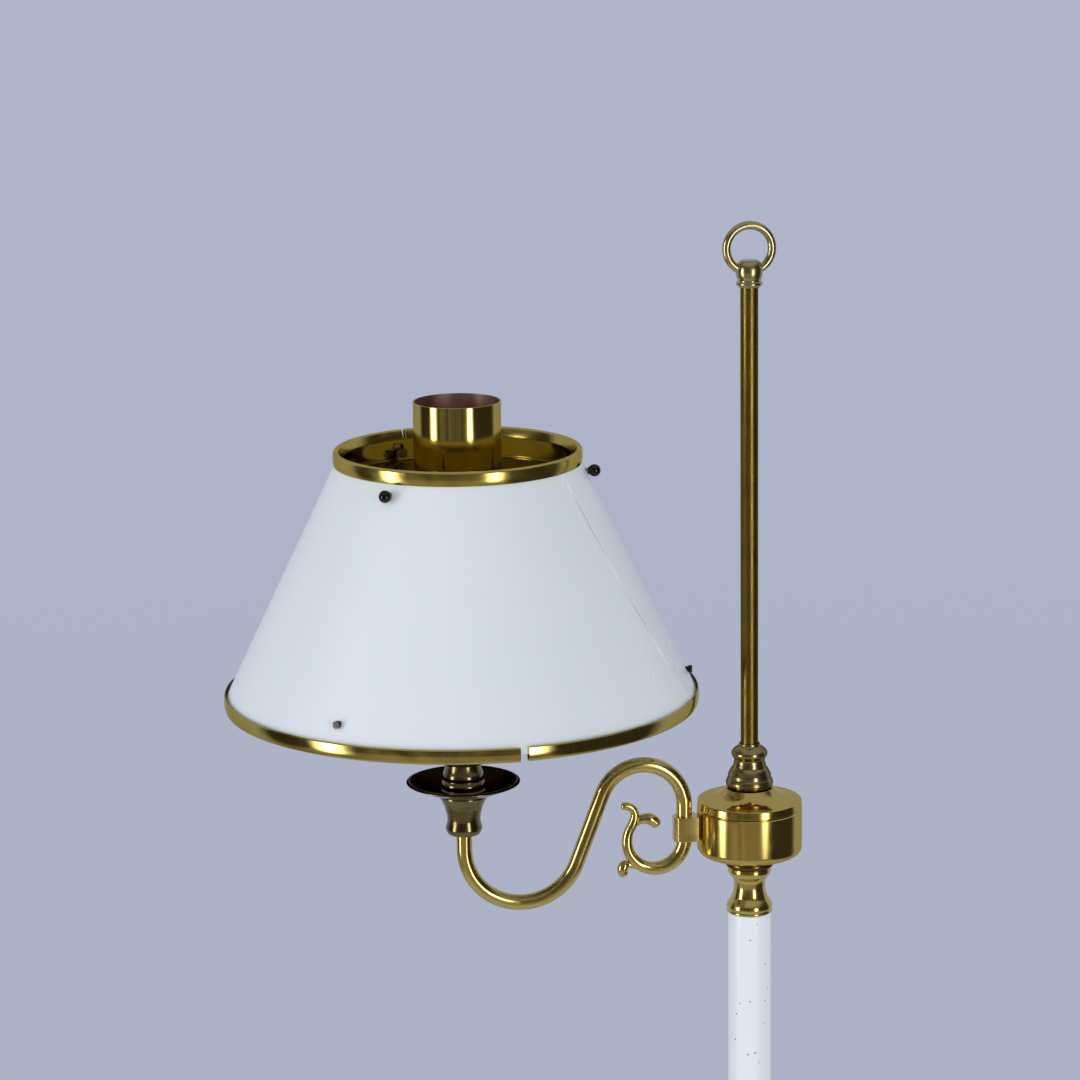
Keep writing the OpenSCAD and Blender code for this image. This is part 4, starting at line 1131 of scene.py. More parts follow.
    def finial(self) -> None:
        """The cap on the rod: a collar, a groove and a ball that holds the ring."""
        h, ball, collar = self.finial_height, self.finial_ball, self.finial_collar
        seat = self.rod_radius + PLAY
        bead = on_arc((collar - self.finial_bead, 2), self.finial_bead, -70, 70)
        globe = [
            (ball - 1.1, 3.8), (ball - 0.9, 4.5), (ball - 0.3, 6.3), (ball, 8.8), (ball - 0.3, 11.2),
            (ball - 1.1, 13.2), (ball - 2.1, 14.5), (ball - 3.2, h),
        ]
        outline = [(seat, self.finial_seat), (seat, 0), (collar - 1.2, 0)] + bead + through(globe)
        outline += [(self.finial_top, h), (0, h), (0, self.finial_seat)]
        base, _ = levels("finial")
        PALE.dress(fit(lathe("turned_finial", lifted(rounded(outline, 0.25), base), sides=96), "finial"))

    def ring(self) -> None:
        """The carry ring of round wire."""
        _, high = levels("carry_ring")
        path = on_arc((0.0, high - self.ring_radius), self.ring_radius - self.ring_wire, 0, 360, 128)[:-1]
        PALE.dress(fit(bar("carry_wire", path, [self.ring_wire] * len(path), closed=True), "carry_ring"))


@dataclass
class Hub:
    """The polished drum that turns on the pole."""

    radius: float = 30.25
    wall: float = 2.2
    body_height: float = 27.5
    foot_round: float = 5.0
    seam_bevel: float = 0.8
    bush: float = 9.1
    floor: float = 3.0
    boss: float = 13.05
    lid_edge: float = 4.2
    lid_lean: float = 0.3
    lid_round: float = 1.0
    lid_rise: float = 6.8
    lid_top: float = 14.0
    lid_shell: float = 2.0
    spigot: float = 4.2
    screw_radius: float = 1.1
    screw_socket: float = 0.55
    screw_depth: float = 1.2
    screw_angle: float = -71.0

    def build(self) -> None:
        """Builds the body, the lid and its grub screw."""
        self.body()
        self.lid()
        self.screw()

    def body(self) -> None:
        """The drum, with a rounded foot and a bevel at the seam."""
        low, _ = levels("hub_body")
        corner = (self.radius - self.foot_round, self.foot_round)
        inside = self.radius - self.wall
        outline = [(self.bush, 0)]
        outline += on_arc(corner, self.foot_round, -90, 0, 24)
        outline += [(self.radius, self.body_height - self.seam_bevel)]
        outline += [(self.radius - self.seam_bevel, self.body_height), (inside, self.body_height)]
        outline += on_arc(corner, self.foot_round - self.wall, 0, -90)
        outline += [(self.boss + 1, self.wall), (self.boss + 1, self.floor), (self.bush, self.floor)]
        fit(lathe("turned_hub", lifted(rounded(outline, 0.25), low), sides=256), "hub_body")

    def lid(self) -> None:
        """The lid: an edge that leans in a little, a small shoulder and a hollow cone."""
        _, high = levels("hub_lid")
        shoulder = self.lid_edge + self.lid_round
        rise = shoulder + self.lid_rise
        inside = self.radius - self.wall - PLAY
        edge = self.radius - self.lid_lean
        span = self.radius - self.lid_top
        outline = [(inside, 0), (self.radius - self.seam_bevel, 0), (self.radius, self.seam_bevel)]
        outline += on_arc((edge - self.lid_round, self.lid_edge), self.lid_round, 4, 80, 16)
        outline += through([
            (edge - self.lid_round - 0.4, shoulder),
            (self.lid_top + span * 0.64, shoulder + self.lid_rise * 0.05),
            (self.lid_top + span * 0.37, shoulder + self.lid_rise * 0.2),
            (self.lid_top + span * 0.16, shoulder + self.lid_rise * 0.5),
            (self.lid_top, rise),
        ], 16)
        outline += [(self.bush, rise), (self.bush, self.lid_edge), (self.boss, self.lid_edge)]
        outline += [(self.boss, rise - self.lid_shell - 2.5), (inside - self.lid_shell, self.lid_edge - 1.2)]
        outline += [(inside - self.lid_shell, -self.spigot), (inside, -self.spigot)]
        fit(lathe("turned_lid", lifted(rounded(outline, 0.25), high - rise), sides=256), "hub_lid")

    def screw(self) -> None:
        """The grub screw that holds the lid, with a hollow socket."""
        low, high = levels("lid_screw")
        socket = self.screw_radius * self.screw_socket
        length = self.wall + 0.1
        outline = [(0, 0), (self.screw_radius, 0), (self.screw_radius, length), (socket, length)]
        outline += [(socket, length - self.screw_depth), (0, length - self.screw_depth - 0.2)]
        piece = lathe("grub_screw", rounded(outline, 0.15), sides=36)
        a = math.radians(self.screw_angle)
        seat = self.radius - self.wall
        turned_round(piece, (seat * math.cos(a), seat * math.sin(a), (low + high) / 2), self.screw_angle)
        FINISHES["black_bronze"].dress(fit(piece, "lid_screw"))


@dataclass
class Arm:
    """The clip on the hub, the bent tube and the cast scroll."""

    hub_radius: float = 30.25
    clip_reach: float = 8.2
    clip_half: float = 6.4
    clip_seat: float = 3.4
    clip_back: float = 0.7
    clip_bevel: float = 0.4
    tube_radius: float = 4.5
    tube_start: float = 3.2
    tube_seat: float = 12.0
    arch_radius: float = 24.6
    arch_lift: float = 14.2
    straight: float = 42.5
    lean: float = 20.95
    reach: float = 166.0
    scroll_radius: float = 16.7
    scroll_start: float = 4.0
    scroll_drop: float = 2.4
    scroll_thick: float = 4.3
    scroll_thin: float = 2.5
    scroll_dome: float = 0.8
    scroll_grain: float = 0.3

    def build(self) -> None:
        """Builds the three pieces."""
        self.clip()
        self.tube()
        self.scroll()

    @property
    def clip_out(self) -> float:
        """The distance from the pole's axis to the tube in the clip."""
        return self.hub_radius + self.clip_reach

    def clip(self) -> None:
        """The strap that folds round the tube, as a prism with eased edges."""
        low, high = levels("arm_clip")
        nose = self.clip_out + self.clip_half
        side = [(self.clip_out + 1, 1.0), (nose - 2.2, 0.82), (nose, 0.42)]
        back = self.hub_radius + self.clip_back
        span = math.degrees(math.asin(self.clip_seat / self.hub_radius))
        seat = on_arc((0.0, 0.0), self.hub_radius + PLAY, 180 - span, 180 + span)
        plan = [(-u, -share * self.clip_half) for u, share in side]
        plan += [(-u, share * self.clip_half) for u, share in reversed(side)]
        plan += [(-back, self.clip_half), (-back, self.clip_seat)] + seat
        plan += [(-back, -self.clip_seat), (-back, -self.clip_half)]
        shell = bmesh.new()
        floor = [shell.verts.new((x * MM, y * MM, low * MM)) for x, y in plan]
        face = shell.faces.new(floor)
        grown = bmesh.ops.extrude_face_region(shell, geom=[face])["geom"]
        raised = [g for g in grown if isinstance(g, bmesh.types.BMVert)]
        bmesh.ops.translate(shell, verts=raised, vec=(0, 0, (high - low) * MM))
        bmesh.ops.recalc_face_normals(shell, faces=shell.faces)
        hard = [e for e in shell.edges if e.calc_face_angle() > HARD_TURN]
        ease_by = self.clip_bevel * MM
        bmesh.ops.bevel(shell, geom=hard, offset=ease_by, segments=4, profile=0.5, affect="EDGES")
        mesh = bpy.data.meshes.new("folded_clip")
        shell.to_mesh(mesh)
        shell.free()
        piece = place_mesh("folded_clip", mesh)
        piece.modifiers.new("flats", "WEIGHTED_NORMAL")
        SATIN.dress(fit(piece, "arm_clip"))

    def tube(self) -> None:
        """The arm tube: up from the clip, over the arch, down the straight and round into the cup."""
        low, high = levels("arm_clip")
        cup, _ = levels("lower_cup")
        lean = math.radians(self.lean)
        clip_height = (low + high) / 2
        arch = (self.clip_out + self.arch_radius, clip_height + self.arch_lift)
        both = (self.reach - self.clip_out - self.straight * math.sin(lean)) / (1 + math.cos(lean))
        bend = both - self.arch_radius
        foot = (self.reach - bend, arch[1] + both * math.sin(lean) - self.straight * math.cos(lean))
        path = [(self.clip_out, low + self.tube_start)]
        path += on_arc(arch, self.arch_radius, 180, self.lean, 72)
        path += on_arc(foot, bend, 180 + self.lean, 360, 72)
        path += [(self.reach, cup + self.tube_seat)]
        path = [(-u, z) for u, z in path]
        SATIN.dress(fit(bar("bent_tube", path, [self.tube_radius] * len(path), sides=64), "arm_tube"))

    def scroll(self) -> None:
        """The cast scroll: a main curve with a leaf, a hook and a curl, melted together."""
        low, high = levels("arm_clip")
        start = (low + high) / 2 - self.scroll_start
        centre = (self.clip_out + self.scroll_radius, start - self.scroll_drop)
        turn, fork, root = math.radians(389), math.radians(32), math.radians(-60)
        main = [(-1.0, self.scroll_drop / self.scroll_radius)] + on_arc((0, 0), 1, 180, 385, 56)
        main += handles([(math.cos(turn), math.sin(turn)), (0.61, 0.92), (0.69, 1.26), (1.1, 1.28)], 24)
        hook = handles([(math.cos(fork), math.sin(fork)), (0.66, 0.81), (0.2, 0.9), (0.0, 0.62)], 24)
        curl = handles([(math.cos(root), math.sin(root)), (0.75, -0.92), (0.95, -0.74), (1.1, -0.84)], 16)
        curl += handles([(1.1, -0.84), (1.17, -0.9), (1.18, -1.0), (1.14, -1.1)], 10)
        thick, thin = self.scroll_thick, self.scroll_thin
        sprigs = [
            self.sprig("scroll_main", main, centre, [thick, thick, 4.0, 3.6, 3.2, 2.9, thin, 2.3]),
            self.sprig("scroll_hook", hook, centre, [2.4, 2.3, 2.9, 3.5, 3.2]),
            self.sprig("scroll_curl", curl, centre, [2.2, 2.0, 2.3, 3.1, 3.3, 2.9]),
        ]
        SATIN.dress(fit(cast(joined("cast_scroll", sprigs), self.scroll_grain, 3), "arm_scroll"))

    def sprig(self, name: str, line: Outline, centre: Point, steps: list[float]) -> bpy.types.Object:
        """One bar of the scroll, with a domed end.

        Args:
            name: The bar's name.
            line: Its path, as shares of the scroll's radius from its centre.
            centre: The scroll's centre, as distance from the pole's axis and height.
            steps: The bar's radii at even steps along it.

        Returns:
            The bar.
        """
        path = [(-centre[0] - u * self.scroll_radius, centre[1] + z * self.scroll_radius) for u, z in line]
        radii = []
        for k in range(len(path)):
            at = k / (len(path) - 1) * (len(steps) - 1)
            first = min(int(at), len(steps) - 2)
            radii.append(steps[first] + (steps[first + 1] - steps[first]) * ease(at - first))
        way = (Vector(path[-1]) - Vector(path[-2])).normalized()
        end, full = Vector(path[-1]), radii[-1]
        for a in (math.radians(12 * k) for k in range(1, 8)):
            path.append(tuple(end + way * full * self.scroll_dome * math.sin(a)))
            radii.append(full * math.cos(a))
        return bar(name, path, radii, sides=28)


@dataclass
class Holder:
    """The cup, drip pan, lamp holder and bulb on the shade's axis."""

    centre: Point = (0.0, 0.0)
    tube_radius: float = 4.5
    thread: float = 5.05
    cup_height: float = 24.0
    cup_top: float = 13.9
    cup_neck: float = 9.4
    cup_bead: float = 10.4
    tube_seat: float = 12.0
    pan_radius: float = 32.2
    pan_height: float = 8.0
    pan_sheet: float = 1.0
    stem_height: float = 18.0
    stem_radius: float = 12.7
    stem_waist: float = 9.8
    cap_height: float = 21.0
    radius: float = 20.0
    wall: float = 3.0
    skirt_bore: float = 15.9
    skirt_plain: float = 5.0
    skirt_pitch: float = 2.0
    skirt_depth: float = 0.5
    core_height: float = 8.0
    nut_radius: float = 28.0
    nut_height: float = 4.0
    nut_grips: int = 22
    nut_edge: float = 1.5
    nut_dip: float = 0.9
    knob_radius: float = 4.0
    knob_length: float = 5.0
    knob_side: float = 1.6
    knob_dome: float = 1.4
    bar_radius: float = 2.5
    bulb_radius: float = 30.0
    bulb_rise: float = 46.0
    bulb_neck: float = 11.5
    bulb_wall: float = 1.0
    bulb_seat: float = 6.0
    screw_cap: float = 13.0
    screw_depth: float = 0.8
    screw_pitch: float = 3.6

    def build(self) -> None:
        """Builds the pieces from the cup up."""
        self.centre = middle("lower_cup")
        self.cup()
        self.pan()
        self.stem()
        self.cap()
        self.skirt()
        self.nuts()
        self.switch()
        self.bulb_cap()
        self.bulb()

    def cup(self) -> None:
        """The dark cup that the arm ends in."""
        h, top, neck, bead = self.cup_height, self.cup_top, self.cup_neck, self.cup_bead
        bore = self.tube_radius + PLAY
        foot = [
            (self.tube_radius + 1.4, 0), (bead - 1.6, 0.9), (bead - 0.4, 2.7), (bead, 4.4),
            (bead - 0.35, 6.1), (neck + 0.1, 8.2), (neck, 9.6), (neck + 0.2, 11.6), (neck + 0.6, 14),
        ]
        flare = [(neck + 0.9, 14.2), (neck + 1.4, 16.6), (neck + 2.1, 18.7)]
        lip = [(neck + 2.4, 18.9), (neck + 3.2, 20.6), (top - 0.4, 22.2), (top, 23)]
        outline = [(bore, 0)] + through(foot) + through(flare) + through(lip)
        outline += [(top, h - 0.4), (top - 0.4, h), (self.thread, h)]
        outline += [(self.thread, self.tube_seat), (bore, self.tube_seat)]
        base, _ = levels("lower_cup")
        fit(lathe("turned_cup", lifted(rounded(outline), base), self.centre), "lower_cup")

    def pan(self) -> None:
        """The spun drip pan with a rolled lip, its inside painted near black as painted shade under the
        shade.
        """
        flat, edge, h, sheet = self.cup_top, self.pan_radius, self.pan_height, self.pan_sheet
        under = [(flat, 0), (flat + (edge - flat) * 0.4, h * 0.32), (flat + (edge - flat) * 0.75, h * 0.66)]
        under += [(edge - 0.6, h - 0.6)]
        upper = [(r - z / h * sheet, z + sheet) for r, z in under]
        outline = [(self.thread, 0)] + through(under)
        outline += on_arc((edge - 0.6, h - 0.6), 0.6, -20, 160)
        outline += through(upper)[::-1] + [(self.thread, sheet)]
        base, _ = levels("drip_pan")
        piece = fit(lathe("spun_pan", lifted(rounded(outline), base), self.centre, 192), "drip_pan")
        # painted shade: the upward faces inside the pan take the near-black finish for the shadow under the
        # shade
        line_with(piece, PAN_PAINTED_SHADE, lambda at, normal: normal.z > 0.05 and at.z < base + h + 0.2)

    def stem(self) -> None:
        """The turned piece between the pan and the lamp holder."""
        h, full, waist = self.stem_height, self.stem_radius, self.stem_waist
        outline = [(self.thread, 0)]
        outline += through([
            (full - 0.7, 0), (full - 0.1, 0.9), (full - 0.2, 1.9), (full - 0.8, 2.7), (full - 0.3, 3.9),
            (full, 5.2), (full - 0.4, 6.6), (full - 1.2, 7.9), (full - 1.1, 9.1), (full - 1.0, 10.2),
            (full - 1.3, 11.6), (full - 2.1, 13.5), (waist + 0.1, 15.6), (waist - 0.2, 17), (waist + 0.2, h),
        ])
        outline += [(self.thread, h)]
        base, _ = levels("holder_stem")
        fit(lathe("turned_stem", lifted(rounded(outline), base), self.centre), "holder_stem")

    def cap(self) -> None:
        """The lamp holder's moulded cap."""
        h, full, inside, foot = self.cap_height, self.radius, self.radius - self.wall, self.stem_waist + 3
        dome = [(foot, 0), (full - 4, 3), (full - 1, 7), (full, 12)]
        groove = [(full, h - 2.2), (full - 0.5, h - 1.9), (full - 0.5, h - 1.3), (full, h - 1)]
        hollow = [(full, h), (inside, h), (inside, 11), (inside - 4, 8), (self.thread, 8)]
        outline = [(self.thread, 0), (foot, 0)] + through(dome) + groove + hollow
        base, _ = levels("holder_cap")
        fit(lathe("moulded_cap", lifted(rounded(outline), base), self.centre), "holder_cap")

    def skirt(self) -> None:
        """The lamp holder's skirt with the thread that the ring nuts run on."""
        low, high = levels("holder_skirt")
        plain, pitch, core = self.skirt_plain, self.skirt_pitch, low + self.core_height
        full, root, inside = self.radius, self.radius - self.skirt_depth, self.radius - self.wall + PLAY
        outline = [(inside, low), (full, low), (full, low + plain)]
        for k in range(int((high - low - plain - 3) / pitch)):
            z = low + plain + 0.5 + k * pitch
            outline += [(root, z + pitch * 0.2), (root, z + pitch * 0.4)]
            outline += [(full, z + pitch * 0.6), (full, z + pitch * 0.8)]
        outline += [(full, high), (self.skirt_bore, high), (self.skirt_bore, core), (inside, core)]
        fit(lathe("threaded_skirt", rounded(outline, 0.15, 2), self.centre, 96), "holder_skirt")

    def nuts(self) -> None:
        """The two ring nuts that grip the shade's spider, with scalloped edges."""
        low, high = levels("shade_nuts")

        def scallop(angle: float, r: float, z: float) -> Point:
            """Draws the rim in between the grips."""
            dip = 0.5 - 0.5 * math.cos(math.radians(angle * self.nut_grips))
            return (r - self.nut_dip * dip ** 3 if r > self.nut_radius - self.nut_edge else r), z

        bore, edge, thick = self.radius + PLAY, self.nut_radius, self.nut_height
        outline = rounded([(bore, 0), (edge, 0), (edge, thick), (bore, thick)], 0.6)
        rings = [lathe(f"ring_nut_{z:.0f}", lifted(outline, z), self.centre, 264, bend=scallop)
                 for z in (low, high - self.nut_height)]
        fit(joined("ring_nuts", rings), "shade_nuts")

    def switch(self) -> None:
        """The push-through switch bar with domed knobs."""
        low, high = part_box("switch_bar")
        length = (high.y - low.y) / MM
        knob, thick, rod = self.knob_radius, self.knob_length, self.bar_radius
        curve = knob * self.knob_dome
        dome = on_arc((0.0, curve), curve, -45.6, -90, 8)[::-1]
        outline = dome + [(knob, self.knob_side), (knob, thick), (rod, thick)]
        outline += [(r, length - z) for r, z in reversed(outline)]
        piece = lathe("push_bar", rounded(outline, 0.5), sides=64)
        turned_round(piece, (self.centre[0], low.y / MM, (low.z + high.z) / 2 / MM), 90)
        fit(piece, "switch_bar")

    def bulb_cap(self) -> None:
        """The bulb's screw cap with its rolled thread."""
        low, high = levels("bulb_cap")
        full, root, pitch = self.screw_cap, self.screw_cap - self.screw_depth, self.screw_pitch
        outline = [(0, low), (6, low), (full - 1, low + 4)]
        for k in range(int((high - low - 7) / pitch)):
            z = low + 5 + k * pitch
            outline += [(full, z + 0.6), (full, z + 1.4), (root, z + 2.4), (root, z + 3.2)]
        neck = self.bulb_neck + PLAY
        outline += [(full, high - 0.8), (full, high), (neck, high), (neck, high - self.bulb_seat)]
        outline += [(0, high - self.bulb_seat)]
        fit(lathe("rolled_cap", rounded(outline, 0.5), self.centre, 96), "bulb_cap")

    def bulb(self) -> None:
        """The blown glass bulb."""
        low, _ = levels("bulb_glass")
        outer, inner = self.bulb_line(0.0), self.bulb_line(self.bulb_wall)
        seat = -self.bulb_seat
        outline = [(self.bulb_neck, seat)] + outer + inner[::-1] + [(self.bulb_neck - self.bulb_wall, seat)]
        fit(lathe("blown_bulb", lifted(outline, low + self.bulb_seat), self.centre), "bulb_glass")

    def bulb_line(self, depth: float) -> Outline:
        """The bulb's outline, drawn in by a depth.

        Args:
            depth: How far inside the outer face it lies.

        Returns:
            Points from the neck up to the crown.
        """
        full, rise, neck = self.bulb_radius - depth, self.bulb_rise, self.bulb_neck - depth
        low = math.radians(-30)
        line = through([
            (neck, 0), (neck + 0.6, 8), (self.bulb_radius * 0.58 - depth, rise * 0.44),
            (full * math.cos(low), rise + full * math.sin(low)),
        ])
        return line + on_arc((0, rise), full, -24, 90, 32)


@dataclass
class Shade:
    """The white cone, its two brass rims, the top plate, the chimney and the ball nuts."""

    centre: Point = (0.0, 0.0)
    low: float = 0.0
    top: float = 0.0
    low_radius: float = 133.5
    up_radius: float = 69.5
    low_height: float = 8.4
    up_height: float = 8.2
    low_width: float = 5.0
    low_roll: float = 1.1
    up_width: float = 3.4
    rim_sheet: float = 0.8
    face_bow: float = 18.0
    lip: float = 1.3
    lip_lift: float = 0.6
    rim_seat: float = 4.2
    sheet: float = 0.7
    cone_play: float = 0.15
    lap_angle: float = -24.6
    lap_lean: float = -18.6
    lap_over: float = 3.0
    lap_fade: float = 14.0
    low_split: float = 5.0
    low_split_angle: float = -84.3
    low_flare: float = 0.9
    flare_span: float = 10.0
    up_split: float = 2.2
    up_split_angle: float = 109.0
    plate_sheet: float = 1.0
    plate_play: float = 1.15
    plate_flange: float = 1.1
    chimney_radius: float = 24.5
    chimney_wall: float = 0.8
    chimney_flange: float = 3.0
    ball_radius: float = 3.5
    ball_neck: float = 2.2
    stud_radius: float = 1.55
    stud_lift: float = 4.4
    stud_angle: float = -10.0
    studs: int = 3

    def build(self) -> None:
        """Builds the pieces from the cone up."""
        self.centre = middle("shade_cone")
        self.low, _ = levels("lower_rim")
        _, self.top = levels("upper_rim")
        self.cone()
        self.lower_rim()
        self.upper_rim()
        self.plate()
        self.chimney()
        self.balls()

    def out(self, z: float) -> float:
        """Finds the radius of the cone's outer face.

        Args:
            z: The height.

        Returns:
            The radius.
        """
        play = self.rim_sheet + self.cone_play
        foot, head = self.low + self.rim_seat, self.top - self.up_height
        share = (z - foot) / (head - foot)
        return (self.low_radius - play) * (1 - share) + (self.up_radius - play) * share

    @property
    def shelf(self) -> float:
        """The height of the cone's upper edge, inside the upper rim."""
        return self.top - self.up_height + 3 * self.rim_sheet

    def cone(self) -> None:
        """The sheet cone, whose outer end laps over its inner end; that cut end takes a paler white, partly
        the raw edge's own colour and partly a painted highlight.
        """
        foot, head = self.low + self.rim_seat, self.shelf

        def lap(angle: float, r: float, z: float) -> Point:
            """Lifts the outer end by the sheet's thickness."""
            past = (angle - self.lap_angle) / self.lap_fade
            return r + (self.sheet + PLAY) * (1 - ease(past)), z

        def cut_end(at: Vector, normal: Vector) -> bool:
            """Picks the end of the sheet that lies outside."""
            x, y = at.x - self.centre[0], at.y - self.centre[1]
            return (x * normal.y - y * normal.x) / math.hypot(x, y) < -0.7

        rows = [foot + (head - foot) * k / 12 for k in range(13)]
        outline = [(self.out(z), z) for z in rows] + [(self.out(z) - self.sheet, z) for z in reversed(rows)]
        piece = lathe("lapped_cone", outline, self.centre, 363, self.lap_angle,
                      self.lap_angle + 360 + self.lap_over, lap, self.lap_lean)
        # partly real and partly painted highlight: the outer cut end of the lap takes the paler white
        line_with(fit(piece, "shade_cone"), CUT_END_HIGHLIGHT, cut_end)

    def lower_rim(self) -> None:
        """The lower band, split in front, where its one end stands off a little."""
        edge, low, sheet = self.low_radius, self.low, self.rim_sheet
        inner, high, lip = edge - self.low_width, low + self.low_height, low + self.rim_seat - 1
        outline = on_arc((edge - 1.5, low + self.low_roll), self.low_roll, -90, -15)
        outline += on_arc((edge - self.face_bow, low + 4.4), self.face_bow, -9, 10)
        outline += [(edge - 0.9, high), (edge - sheet, high - sheet), (edge - sheet, low + sheet)]
        outline += [(inner + sheet, low + sheet), (inner + sheet, lip), (inner, lip), (inner, low)]
        half = math.degrees(self.low_split / 2 / edge)
        start, end = self.low_split_angle + half, self.low_split_angle + 360 - half

        def flare(angle: float, r: float, z: float) -> Point:
            """Bends the band's ends outward.

            Args:
                angle: A point's angle, in degrees.
                r: Its radius.
                z: Its height.

            Returns:
                The new radius and height.
            """
            far = max(0.0, 1 - (end - angle) / self.flare_span)
            near = max(0.0, 1 - (angle - start) / self.flare_span)
            return r + self.low_flare * (far ** 2 + 0.2 * near ** 2), z

        piece = lathe("lower_band", rounded(outline, 0.25), self.centre, 360, start, end, flare)
        fit(piece, "lower_rim")

    def upper_rim(self) -> None:
        """The upper band with a rounded top, split at the back."""
        edge, width, sheet = self.up_radius, self.up_width, self.rim_sheet
        foot, lip = self.top - self.up_height, self.shelf + self.lip_lift
        bead = (edge - width / 2 - 0.15, self.top - width / 2)
        inner = edge - width - self.lip
        outline = [(edge - sheet - 0.2, foot)]
        outline += on_arc((edge - self.face_bow, foot + 4), self.face_bow, -12, 8)
        outline += on_arc(bead, width / 2, 12, 150, 24)
        outline += [(inner, lip), (inner + sheet, lip)]
        outline += on_arc(bead, width / 2 - sheet, 180, 0, 16)
        half = math.degrees(self.up_split / 2 / edge)
        piece = lathe("upper_band", rounded(outline, 0.25), self.centre, 300,
                      self.up_split_angle + half, self.up_split_angle + 360 - half)
        SPUN.dress(fit(piece, "upper_rim"))

    def plate(self) -> None:
        """The dished plate, whose flange runs up to the upper rim."""
        low, _ = levels("top_plate")
        face, high = low + self.plate_sheet, self.shelf + self.lip_lift - PLAY
        bore, thick = self.chimney_radius + PLAY, self.plate_flange
        foot, head = self.out(face) - self.plate_play, self.out(high) - self.plate_play
        outline = [(bore, low), (self.out(low) - self.plate_play - self.plate_sheet, low), (foot, face)]
        outline += [(head, high), (head - thick, high), (foot - thick, face), (bore, face)]
        fit(lathe("dished_plate", rounded(outline, 0.8, 6), self.centre, 192), "top_plate")

    def chimney(self) -> None:
        """The thin chimney, browned inside by the bulb's heat."""
        low, high = levels("chimney")
        radius, wall = self.chimney_radius, self.chimney_wall
        foot = radius + self.chimney_flange
        outline = [(radius - wall, low), (foot, low), (foot, low + wall), (radius, low + wall)]
        outline += [(radius, high), (radius - wall, high)]
        piece = fit(lathe("chimney_tube", rounded(outline, 0.25), self.centre, 192), "chimney")
        axis = Vector(self.centre)
        line_with(piece, HEATED, lambda at, normal: (at.xy - axis).length < radius - wall * 0.6)

    def balls(self) -> None:
        """The dark ball nuts on the studs, one piece of three."""
        low, _ = levels("top_plate")
        height = low + self.plate_sheet + self.stud_lift
        seat = self.out(height - self.ball_neck) + 0.1
        ball, neck, bore = self.ball_radius, self.ball_neck, self.stud_radius
        start = -math.degrees(math.acos(neck / ball))
        outline = [(bore, 0), (neck, 0)] + on_arc((0, ball), ball, start, 90, 24)
        outline += [(0, ball + 1), (bore, ball + 1)]
        nuts = []
        for k in range(self.studs):
            heading = self.stud_angle + 360 / self.studs * k
            a = math.radians(heading)
            nut = lathe(f"ball_nut_{k}", rounded(outline, 0.2), sides=64)
            place = (self.centre[0] + seat * math.cos(a), self.centre[1] + seat * math.sin(a), height)
            nuts.append(turned_round(nut, place, heading))
        fit(joined("ball_nut_set", nuts), "ball_nuts")


def dress_rest() -> None:
    """Dresses the CAD nodes whose shape stays as it is."""
    for name, node in frame["nodes"].items():
        if node.hide_render:
            continue
        OTHER.get(name, FINISHES[SLOT_OF[name]]).dress(node)
        node.data.polygons.foreach_set("use_smooth", [True] * len(node.data.polygons))
        node.data.set_sharp_from_angle(angle=CAD_TURN)
        LOG.info("%s keeps its CAD shape", name)


# Studio

